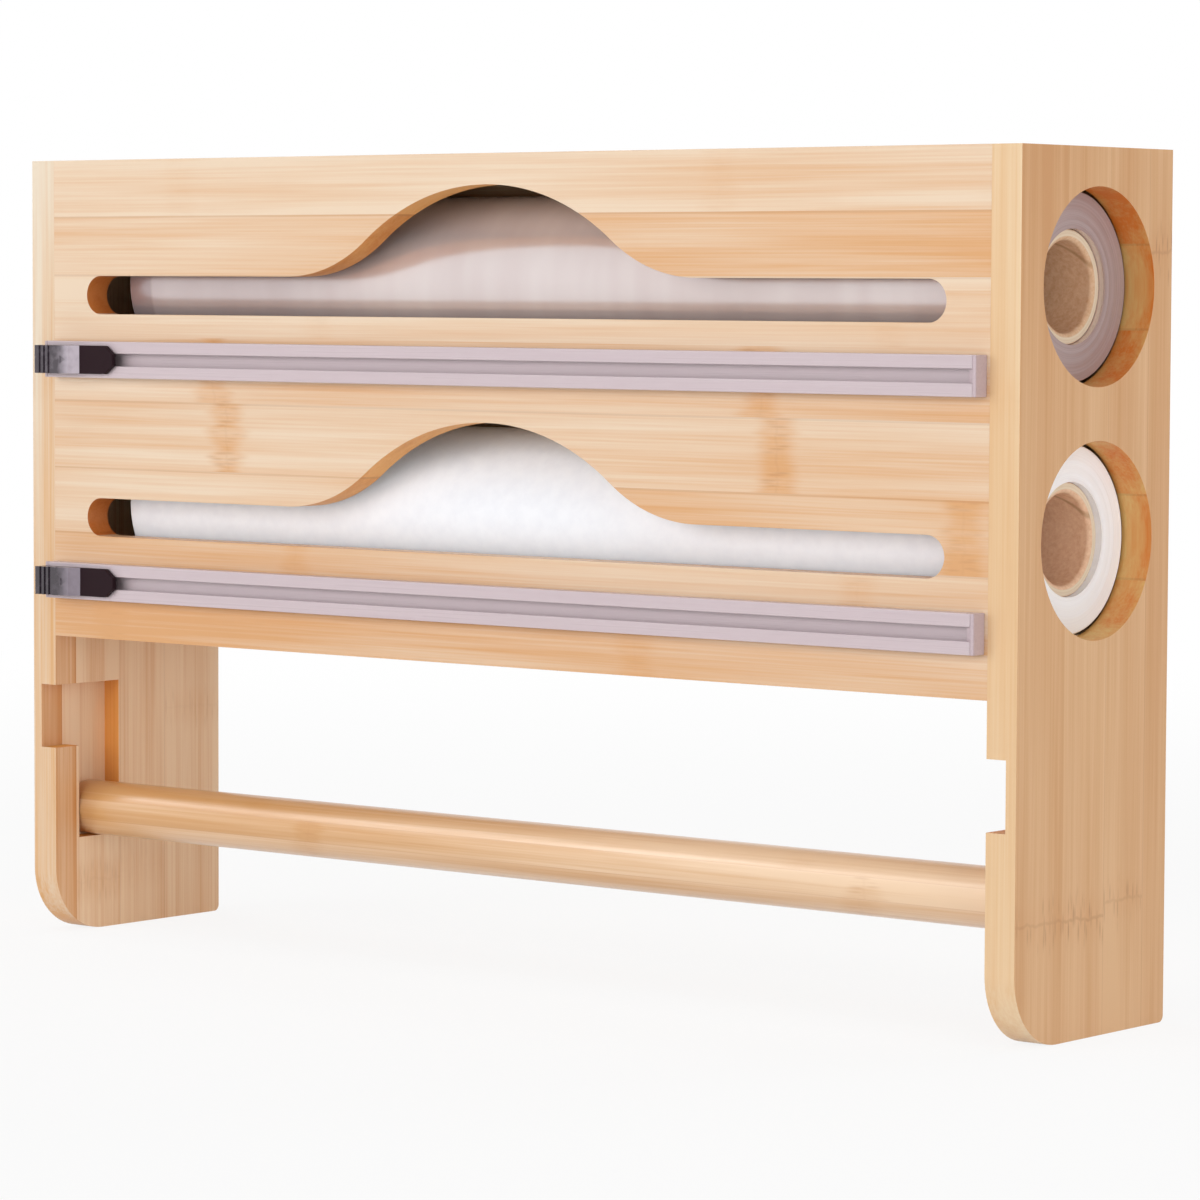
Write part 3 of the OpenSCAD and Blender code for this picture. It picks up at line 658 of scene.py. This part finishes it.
# %% Ends of wound layers
def layered_finish(name, colour, dark_colour, axis_y, axis_z, pitch, rough):
    """The end of a wound roll: the edges of its layers as fine rings about the axis."""
    material, tree, shader, in_mm = start_finish(name, IOR=1.5, Roughness=rough)
    axis = (0, axis_y, axis_z)
    centred = add_node(tree, VECTOR_MATH, SUBTRACT, {0: in_mm, 1: axis}).outputs[0]
    flat = add_node(tree, VECTOR_MATH, MULTIPLY, {0: centred, 1: (0, 1, 1)}).outputs[0]
    radius = add_node(tree, VECTOR_MATH, LENGTH, {0: flat}).outputs["Value"]
    ring = add_node(tree, "ShaderNodeCombineXYZ", inputs={0: radius}).outputs[0]
    looks = {"Vector": ring, "Scale": 1 / pitch, "Detail": 2, "Roughness": 0.7}
    rings = add_node(tree, NOISE, inputs=looks).outputs[0]
    share = add_node(tree, MAP_RANGE, inputs={0: rings, **NARROW_SPAN}).outputs[0]
    layers = add_node(
        tree, MIX, COLOURS,
        {0: share, MIX_A: paint(colour), MIX_B: paint(dark_colour)}).outputs[MIX_COLOUR]
    relief = add_node(
        tree, BUMP, inputs={"Strength": 0.4, "Distance": 0.1 * MM, "Height": rings}).outputs[0]
    join_shader(tree, shader, Base_Color=layers, Normal=relief)
    return material


# %% Parchment
CLOUD_MM = 5
TOOTH_MM = 0.8
PAPER_WHITES = ("F0F4FA", "EBEFF6")


def parchment_finish(name):
    """Baking parchment: matt white paper with cloudy formation and a fine tooth."""
    pale, deep = (paint(c) for c in PAPER_WHITES)
    material, tree, shader, in_mm = start_finish(name, IOR=1.48)
    looks = {"Vector": in_mm, "Scale": 1 / CLOUD_MM, "Detail": 3, "Roughness": 0.6}
    clouds = add_node(tree, NOISE, inputs=looks).outputs[0]
    looks = {"Vector": in_mm, "Scale": 1 / TOOTH_MM, "Detail": 2}
    tooth = add_node(tree, NOISE, inputs=looks).outputs[0]
    share = add_node(tree, MAP_RANGE, inputs={0: clouds, **NARROW_SPAN}).outputs[0]
    paper = add_node(
        tree, MIX, COLOURS, {0: share, MIX_A: pale, MIX_B: deep}).outputs[MIX_COLOUR]
    gloss = add_node(tree, MAP_RANGE, inputs={0: tooth, 3: 0.62, 4: 0.8}).outputs[0]
    relief = add_node(
        tree, BUMP, inputs={"Strength": 0.3, "Distance": 0.05 * MM, "Height": tooth}).outputs[0]
    join_shader(tree, shader, Base_Color=paper, Roughness=gloss, Normal=relief)
    return material


# %% Cardboard
SPIRAL_MM = 62
BOARD_FIBRE_MM = 1.4
SEAM_CORE, SEAM_RIM, SEAM_LEVEL = 0.3, 1.2, 0.55
SEAM_BROWN = "A97F58"


def cardboard_finish(name, colours, axis_y, axis_z):
    """Spiral wound cardboard tube: brown fibre with the dark seam of its strip running round it."""
    pale, deep = (paint(c) for c in colours)
    material, tree, shader, in_mm = start_finish(name, IOR=1.45, Roughness=0.82)
    split = add_node(tree, "ShaderNodeSeparateXYZ", inputs={0: in_mm}).outputs
    y = add_node(tree, MATH, SUBTRACT, {0: split[1], 1: axis_y}).outputs[0]
    z = add_node(tree, MATH, SUBTRACT, {0: split[2], 1: axis_z}).outputs[0]
    turn = add_node(tree, MATH, ANGLE, {0: z, 1: y}).outputs[0]
    laid = add_node(
        tree, MATH, MULTIPLY_ADD, {0: turn, 1: SPIRAL_MM / math.tau, 2: split[0]}).outputs[0]
    seam = add_node(
        tree, MATH, WRAP, {0: laid, 1: SPIRAL_MM / 2, 2: -SPIRAL_MM / 2}).outputs[0]
    gap = add_node(tree, MATH, ABSOLUTE, {0: seam}).outputs[0]
    line = add_node(
        tree, MAP_RANGE,
        inputs={0: gap, 1: SEAM_CORE, 2: SEAM_RIM, 3: SEAM_LEVEL, 4: 0}).outputs[0]
    looks = {"Vector": in_mm, "Scale": 1 / BOARD_FIBRE_MM, "Detail": 4, "Roughness": 0.7}
    fibre = add_node(tree, NOISE, inputs=looks).outputs[0]
    share = add_node(tree, MAP_RANGE, inputs={0: fibre, **NARROW_SPAN}).outputs[0]
    board = add_node(
        tree, MIX, COLOURS, {0: share, MIX_A: pale, MIX_B: deep}).outputs[MIX_COLOUR]
    seamed = add_node(
        tree, MIX, COLOURS,
        {0: line, MIX_A: board, MIX_B: paint(SEAM_BROWN)}).outputs[MIX_COLOUR]
    relief = add_node(
        tree, BUMP, inputs={"Strength": 0.35, "Distance": 0.1 * MM, "Height": fibre}).outputs[0]
    join_shader(tree, shader, Base_Color=seamed, Normal=relief)
    return material


# %% [markdown]
# ## Winding the rolls
# Seen through its port, a roll's end isn't a flat disc. Its layers never line up, so the outline that is spun
# has many small steps there, drawn from a seeded source, and the roll's own surface swells and dips by a few
# hundredths of a millimetre, which the film's gloss makes visible. At the right end the layers stand a little
# further out than in the CAD model, so that no dark gap shows between a roll and its port.

# %% Outlines of a winding and its core
LAYERS = 15
LAYER_STEP = 0.28
# The round at a winding's rim, as distances from its end and from its surface in mm
RIM_ROUND = ((0.1, 0.3), (0.35, 0.06))
SURFACE_STEPS = 48


def wound_outline(seed, low_x, high_x, inner_r, outer_r, swell):
    """The outline of a wound roll from bore to rim and back, with stepped ends."""
    draw = random.Random(seed)
    ends = []
    for end, inward in ((low_x, 1), (high_x, -1)):
        steps = [(end, inner_r)]
        for k in range(1, LAYERS):
            r = inner_r + (outer_r - inner_r) * k / LAYERS
            steps.append((end + inward * draw.uniform(0, LAYER_STEP), r))
        for inset, drop in RIM_ROUND:
            steps.append((end + inward * inset, outer_r - drop))
        ends.append(steps)
    surface = []
    for k in range(1, SURFACE_STEPS):
        x = low_x + (high_x - low_x) * k / SURFACE_STEPS
        surface.append((x, outer_r - swell * draw.random()))
    outline = ends[0] + surface + ends[1][::-1]
    return outline + [outline[0]]


def core_outline(low_x, high_x, inner_r, outer_r):
    """The outline of a cardboard tube with slightly furred ends, closed on itself."""
    end = [(1.4, inner_r), (0.45, inner_r + 0.35), (0, inner_r + 1.2), (0, outer_r - 0.3), (0.3, outer_r)]
    outline = [(low_x + x, r) for x, r in end]
    outline += [(high_x - x + low_x, r) for x, r in reversed(outline)]
    return outline + [outline[0]]


# %% Wind the rolls on their cores
CORE_WALL = 3.25
CORE_FIT = 0.05
LAYER_STANDOUT = 1.8
RIM_FACING = 0.9
END_FACING = 0.5
END_LAYERS = 1
# Each roll: its body, both CAD nodes, the wrap's slot, its seed, its swell in mm and its core's browns
# The cores' browns are paler than plain cardboard: painted light for the bores, which lie in shade
ROLLS = (
    ("upper_roll", "upper_roll_core", "film_winding", "film", 31, 0.1, ("E8C6A4", "D8AE88")),
    ("lower_roll", "lower_roll_core", "parchment_winding", "parchment", 47, 0.05, ("F2CEAE", "E4B896")),
)
for body, core_node, wrap_node, slot, seed, swell, browns in ROLLS:
    centre = middle_of(wrap_node)
    axis = (centre.y, centre.z)
    low, high = (corner * PER_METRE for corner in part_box(wrap_node))
    core_low, core_high = (corner * PER_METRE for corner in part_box(core_node))
    core_r = (core_high.z - core_low.z) / 2
    core = turned(core_outline(core_low.x, core_high.x, core_r - CORE_WALL, core_r), *axis)
    cardboard = cardboard_finish("cardboard_" + body, browns, *axis)
    rim = layered_finish("cardboard_rim_" + body, "F0DFC8", "DDC3A2", *axis, pitch=0.4, rough=0.8)
    for face in core.faces:
        if abs(face.normal.x) > RIM_FACING:
            face.material_index = END_LAYERS
    core_name = core_node + "_cardboard"
    core_piece = finish_piece(core, core_name, body, [core_node], [cardboard, rim])
    shaded_pieces.append(core_piece)
    outer_r = (high.z - low.z) / 2
    wrap_end = high.x + LAYER_STANDOUT
    wrap = turned(wound_outline(seed, low.x, wrap_end, core_r + CORE_FIT, outer_r, swell), *axis)
    if slot == "film":
        finishes = [
            film_finish("wound_film", "E2D8D7", "DACECD", "BBACAE", low.x),
            layered_finish("film_layers", "BBA7A6", "AB9593", *axis, pitch=0.5, rough=0.35),
        ]
    else:
        finishes = [
            parchment_finish("parchment_paper"),
            layered_finish("parchment_layers", "FEFEFF", "F8F7F9", *axis, pitch=0.5, rough=0.75),
        ]
    for face in wrap.faces:
        if abs(face.normal.x) > END_FACING:
            face.material_index = END_LAYERS
    wrap_piece = finish_piece(wrap, wrap_node + "_wound", body, [wrap_node], finishes)
    if slot == "parchment":
        shaded_pieces.append(wrap_piece)

# %% [markdown]
# ## Plastics and steel
# The tracks are extruded from milky, faintly lilac plastic, and a little light passes into them, so they get
# some subsurface scattering. The slider's base is matt black moulded plastic, and its grip is a polished
# smoked grey, deeper on the lower slider, with a highlight painted into its colour towards its sloped end.
# The fittings on the back are zinc plated steel, which shows a soft spangle.

# %% Moulded plastic and tape
GLOSS_SPREAD = 0.05
DIE_LINES = (80, 0.7, 0.7)
EVEN_GRAIN = (0.8, 0.8, 0.8)


def moulded_finish(name, colour, grain_colour, rough, grain_mm, relief_mm, **constants):
    """Moulded or extruded plastic: one colour with a fine grain, or die lines where it was drawn."""
    material, tree, shader, in_mm = start_finish(name, IOR=1.52, **constants)
    shrink = [1 / size for size in grain_mm]
    fine = add_node(tree, VECTOR_MATH, MULTIPLY, {0: in_mm, 1: shrink}).outputs[0]
    looks = {"Vector": fine, "Scale": 1, "Detail": 2}
    grain = add_node(tree, NOISE, inputs=looks).outputs[0]
    plastic = add_node(
        tree, MIX, COLOURS,
        {0: grain, MIX_A: paint(colour), MIX_B: paint(grain_colour)}).outputs[MIX_COLOUR]
    gloss = add_node(
        tree, MAP_RANGE,
        inputs={0: grain, **WIDE_SPAN, 3: rough - GLOSS_SPREAD, 4: rough + GLOSS_SPREAD}).outputs[0]
    bumps = {"Strength": 0.3, "Distance": relief_mm * MM, "Height": grain}
    relief = add_node(tree, BUMP, inputs=bumps).outputs[0]
    join_shader(tree, shader, Base_Color=plastic, Roughness=gloss, Normal=relief)
    return material


track_plastic = moulded_finish(
    "extruded_milky_plastic", "CFC0C4", "C6B6BB", 0.3, DIE_LINES, 0.01,
    Subsurface_Weight=0.25, Subsurface_Radius=(1.0, 0.9, 1.0), Subsurface_Scale=0.0015)
cap_plastic = moulded_finish("moulded_mauve_cap", "C9B7BC", "BAA7AD", 0.35, EVEN_GRAIN, 0.01)
black_plastic = moulded_finish(
    "moulded_black_plastic", "221318", "29191E", 0.5, EVEN_GRAIN, 0.02, Specular_IOR_Level=0.1)
foam_tape = moulded_finish("white_foam_tape", "F0EEEA", "E2DFDA", 0.8, EVEN_GRAIN, 0.06)

# %% Smoked plastic for the grips
SMOKE_MM = 2.5
SMOKE_SWING = 0.12
RIBBED_LENGTH = 9
HIGHLIGHT_TIP = 1


def smoked_finish(name, dark, light, start_x, end_x):
    """Smoked grey grip plastic: polished, dark at its ribs, with a painted highlight lightening it towards
    its sloped end.
    """
    material, tree, shader, in_mm = start_finish(name, IOR=1.55, Coat_Weight=0.5, Coat_Roughness=0.05)
    along = add_node(tree, "ShaderNodeSeparateXYZ", inputs={0: in_mm}).outputs[0]
    # A painted highlight: the colour lightens from the ribs towards the sloped end, over the smoke's own
    # uneven tone
    end_highlight = add_node(
        tree, MAP_RANGE, SOFT_STEP, {0: along, 1: start_x, 2: end_x}).outputs[0]
    looks = {"Vector": in_mm, "Scale": 1 / SMOKE_MM, "Detail": 2}
    cloud = add_node(tree, NOISE, inputs=looks).outputs[0]
    uneven = add_node(
        tree, MAP_RANGE, UNCLAMPED,
        {0: cloud, **WIDE_SPAN, 3: -SMOKE_SWING, 4: SMOKE_SWING}).outputs[0]
    share = add_node(tree, MATH, {"use_clamp": True}, {0: end_highlight, 1: uneven}).outputs[0]
    smoke = add_node(
        tree, MIX, COLOURS,
        {0: share, MIX_A: paint(dark), MIX_B: paint(light)}).outputs[MIX_COLOUR]
    gloss = add_node(tree, MAP_RANGE, inputs={0: cloud, **WIDE_SPAN, 3: 0.14, 4: 0.24}).outputs[0]
    join_shader(tree, shader, Base_Color=smoke, Roughness=gloss)
    return material


grip_low, grip_high = (corner * PER_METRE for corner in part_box("upper_slider_grip"))
# The span over which the grips' painted highlight rises
highlight_span = (grip_low.x + RIBBED_LENGTH, grip_high.x - HIGHLIGHT_TIP)
grip_plastic = smoked_finish("moulded_smoked_grip", "372C36", "B9AEB9", *highlight_span)
deep_grip = smoked_finish("moulded_deep_grip", "2E232D", "857A86", *highlight_span)
print("the grips clear between, in mm:", [round(x, 1) for x in highlight_span])

# %% Zinc plated steel and dowel wood
SPANGLE_MM = 2.2
SCUFF_MM = 3
ZINC_GREYS = ("A4A9AE", "BCC0C3")
DOWEL_INTERNODE = 400
DOWEL_BEECH = ("E0BE97", "CFA57A", "A8672F")


def zinc_finish(name):
    """Zinc plated steel: bright bluish metal with a soft spangle and handling marks."""
    dark, light = (paint(c) for c in ZINC_GREYS)
    material, tree, shader, in_mm = start_finish(name, Metallic=1.0)
    looks = {"Vector": in_mm, "Scale": 1 / SPANGLE_MM}
    spangle = add_node(tree, "ShaderNodeTexVoronoi", inputs=looks).outputs["Color"]
    level = add_node(tree, "ShaderNodeSeparateColor", inputs={0: spangle}).outputs[0]
    zinc = add_node(
        tree, MIX, COLOURS, {0: level, MIX_A: dark, MIX_B: light}).outputs[MIX_COLOUR]
    looks = {"Vector": in_mm, "Scale": 1 / SCUFF_MM, "Detail": 4}
    scuff = add_node(tree, NOISE, inputs=looks).outputs[0]
    gloss = add_node(tree, MAP_RANGE, inputs={0: scuff, **WIDE_SPAN, 3: 0.26, 4: 0.42}).outputs[0]
    join_shader(tree, shader, Base_Color=zinc, Roughness=gloss)
    return material


zinc_steel = zinc_finish("zinc_plated_steel")
dowel_chart = [(0, 0.5, 0.5, 0.5, 0, 0), (250,)]
dowel_beech = bamboo_finish(
    "turned_beech_dowel", ALONG_X, dowel_chart, DOWEL_BEECH, DOWEL_INTERNODE, flecked=0)
print("made:", zinc_steel.name, "and", dowel_beech.name)

# %% [markdown]
# ## Tracks, sliders and the fittings on the back
# These pieces are small, and the CAD solids already have their true forms: lipped channels, ribbed grips,
# keyhole plates, screws with a crossed recess. What they lack is the small radius that a mould or a press
# leaves, so each is a softened copy, with a radius that suits its material.

# %% Softened copies of the small pieces
SMALL_STEPS = 2
# Each piece: its CAD node, body, slot and finish, its radius in mm, and the way it is made
SMALL_PIECES = (
    ("upper_cutter_track", "frame", "track_plastic", track_plastic, 0.25, "extrusion"),
    ("lower_cutter_track", "frame", "track_plastic", track_plastic, 0.25, "extrusion"),
    ("upper_track_end_caps", "frame", "track_plastic", cap_plastic, 0.25, "moulding"),
    ("lower_track_end_caps", "frame", "track_plastic", cap_plastic, 0.25, "moulding"),
    ("upper_track_tape", "frame", "tape", foam_tape, 0.1, "strip"),
    ("lower_track_tape", "frame", "tape", foam_tape, 0.1, "strip"),
    ("upper_slider_base", "upper_cutter", "slider_black", black_plastic, 0.25, "moulding"),
    ("lower_slider_base", "lower_cutter", "slider_black", black_plastic, 0.25, "moulding"),
    ("upper_slider_grip", "upper_cutter", "grip_grey", grip_plastic, 0.2, "moulding"),
    ("lower_slider_grip", "lower_cutter", "grip_grey", deep_grip, 0.2, "moulding"),
    ("upper_cutter_blade", "upper_cutter", "steel", zinc_steel, 0.06, "steel"),
    ("lower_cutter_blade", "lower_cutter", "steel", zinc_steel, 0.06, "steel"),
    ("left_hanger_plate", "frame", "steel", zinc_steel, 0.15, "pressing"),
    ("right_hanger_plate", "frame", "steel", zinc_steel, 0.15, "pressing"),
    ("back_board_screws", "frame", "steel", zinc_steel, 0.1, "steel"),
    ("hanger_plate_screws", "frame", "steel", zinc_steel, 0.1, "steel"),
)
for node, body, slot, finish, radius, made in SMALL_PIECES:
    small = copy_of(node)
    soften(small, radius * MM, SMALL_STEPS)
    finish_piece(small, node + "_" + made, body, [node], [finish])

for node in ("panel_dowels", "shelf_dowels"):
    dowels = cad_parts[node]
    dowels.data.materials.clear()
    dowels.data.materials.append(dowel_beech)

# %% [markdown]
# ## Floor, light and camera
# The photograph shows the case on plain white. The floor is a wide white sheet that mixes its own light with
# a share of plain white for the camera, so it stays pale and still takes the object's shadow. The world is a
# soft even light, a large lamp in front models the boards, and weaker ones fill both sides, the back and the
# top, at a level where a colour looks about as it is written.

# %% Floor
FLOOR_HALF = 6.0
NEAR_WHITE, FAR_WHITE = 0.85, 1.0
NEAR_EDGE, FAR_EDGE = 0.35, 1.3
WHITE = (1, 1, 1, 1)


def white_for_camera(tree):
    """One for rays that should see plain white: straight views, reflections and views through."""
    path = add_node(tree, "ShaderNodeLightPath").outputs
    seen = add_node(
        tree, MATH, LARGER, {0: path["Is Camera Ray"], 1: path["Is Glossy Ray"]}).outputs[0]
    return add_node(tree, MATH, LARGER, {0: seen, 1: path["Is Transmission Ray"]}).outputs[0]


floor_bm = bmesh.new()
bmesh.ops.create_grid(floor_bm, x_segments=1, y_segments=1, size=FLOOR_HALF)
floor_mesh = bpy.data.meshes.new("floor_sheet")
floor_bm.to_mesh(floor_mesh)
floor_bm.free()
floor = bpy.data.objects.new("floor_sheet", floor_mesh)
bpy.context.scene.collection.objects.link(floor)
floor_paper = bpy.data.materials.new("white_floor_paper")
floor_paper.use_nodes = True
floor_tree = floor_paper.node_tree
floor_tree.nodes.clear()
matt = add_node(floor_tree, "ShaderNodeBsdfDiffuse", inputs={"Color": paint("F7F7F7")}).outputs[0]
plain = add_node(floor_tree, "ShaderNodeEmission", inputs={"Color": WHITE, "Strength": 1.0}).outputs[0]
spread = add_node(floor_tree, "ShaderNodeTexCoord").outputs["Object"]
reach = add_node(floor_tree, VECTOR_MATH, LENGTH, {0: spread}).outputs["Value"]
share = add_node(
    floor_tree, MAP_RANGE, SOFT_STEP,
    {0: reach, 1: NEAR_EDGE, 2: FAR_EDGE, 3: NEAR_WHITE, 4: FAR_WHITE}).outputs[0]
part_white = add_node(
    floor_tree, MATH, MULTIPLY, {0: white_for_camera(floor_tree), 1: share}).outputs[0]
both = add_node(floor_tree, "ShaderNodeMixShader", inputs={0: part_white, 1: matt, 2: plain}).outputs[0]
add_node(floor_tree, "ShaderNodeOutputMaterial", inputs={0: both})
floor_mesh.materials.append(floor_paper)
print("the floor reaches", FLOOR_HALF, "m each way")

# %% World
AMBIENT = 0.25
studio = bpy.data.worlds.new("white_studio")
bpy.context.scene.world = studio
studio.use_nodes = True
studio_tree = studio.node_tree
studio_tree.nodes.clear()
soft = add_node(studio_tree, "ShaderNodeBackground", inputs={"Color": WHITE, "Strength": AMBIENT}).outputs[0]
white = add_node(studio_tree, "ShaderNodeBackground", inputs={"Color": WHITE, "Strength": 1.0}).outputs[0]
sky = add_node(
    studio_tree, "ShaderNodeMixShader",
    inputs={0: white_for_camera(studio_tree), 1: soft, 2: white}).outputs[0]
add_node(studio_tree, "ShaderNodeOutputWorld", inputs={0: sky})
print("ambient light:", AMBIENT)

# %% [markdown]
# Film and lacquer mirror whatever stands round them, and a large lamp would burn a white patch into each. So
# the wide lamps give light but stay out of reflections, where the white room shows instead. Only the narrow
# strip lamp is mirrored. It draws one soft gleam along the towel rod, and light linking keeps it on the rod
# alone, because the film above would mirror it too. A weak lamp near the camera is linked as well: it reaches
# only the parchment, the cardboard cores and the boards inside the case, which lie in the shade of the slots
# and ports.

# %% Lamps
EVERYTHING = None
# Each lamp: its place, width and height in metres, its watts, whether reflections show it, and what it lights
LAMPS = (
    ("key_lamp", (-0.4, -2.2, 0.65), 2.6, 1.2, 32, False, EVERYTHING),
    ("right_fill_lamp", (2.1, -0.6, 0.6), 1.6, 1.6, 16, False, EVERYTHING),
    ("left_fill_lamp", (-2.2, 0.4, 0.7), 1.6, 1.6, 13, False, EVERYTHING),
    ("back_fill_lamp", (0.3, 2.2, 1.0), 2.0, 2.0, 20, False, EVERYTHING),
    ("top_lamp", (0.0, -0.3, 2.4), 2.0, 2.0, 12, False, EVERYTHING),
    ("strip_lamp", (-1.41, -1.16, 1.28), 1.2, 0.4, 8, True, [rod_piece]),
    ("slot_fill_lamp", (1.3, -1.6, 0.15), 0.8, 0.2, 4.8, False, shaded_pieces),
)
AIM = Vector((0, 0, 0.13))
for name, place, width, height, watts, mirrored, receivers in LAMPS:
    data = bpy.data.lights.new(name, "AREA")
    data.shape = "RECTANGLE"
    data.size = width
    data.size_y = height
    data.energy = watts
    lamp = bpy.data.objects.new(name, data)
    bpy.context.scene.collection.objects.link(lamp)
    lamp.location = place
    lamp.rotation_mode = "QUATERNION"
    lamp.rotation_quaternion = (AIM - Vector(place)).to_track_quat("-Z", "Y")
    lamp.visible_glossy = mirrored
    if receivers is not EVERYTHING:
        lit = bpy.data.collections.new("lit_by_" + name)
        for piece in receivers:
            lit.objects.link(piece)
        lamp.light_linking.receiver_collection = lit
print("lamps:", [lamp[0] for lamp in LAMPS])

# %% [markdown]
# The camera stands where the photograph was taken from, in front of the case and to its right, and looks
# slightly down. A long lens keeps the upright edges nearly parallel.

# %% Camera
EYE = Vector((0.9332, -1.1229, 0.2115))
YAW, PITCH, ROLL = (math.radians(v) for v in (39.186, 3.776, 0.236))
LENS_MM = 144.06
SENSOR_MM = 36
NEAREST = 0.01

ahead = Vector((-math.sin(YAW) * math.cos(PITCH), math.cos(YAW) * math.cos(PITCH), -math.sin(PITCH)))
level = Vector((math.cos(YAW), math.sin(YAW), 0))
upright = level.cross(ahead)
camera_right = math.cos(ROLL) * level + math.sin(ROLL) * upright
camera_up = math.cos(ROLL) * upright - math.sin(ROLL) * level
camera_data = bpy.data.cameras.new("photo_camera")
camera_data.lens = LENS_MM
camera_data.sensor_width = SENSOR_MM
camera_data.clip_start = NEAREST
camera = bpy.data.objects.new("photo_camera", camera_data)
bpy.context.scene.collection.objects.link(camera)
turn = Matrix((camera_right, camera_up, -ahead)).transposed().to_4x4()
camera.matrix_world = Matrix.Translation(EYE) @ turn
bpy.context.scene.camera = camera
bpy.context.scene.view_settings.view_transform = "Standard"
print("camera at", [round(v, 3) for v in EYE])
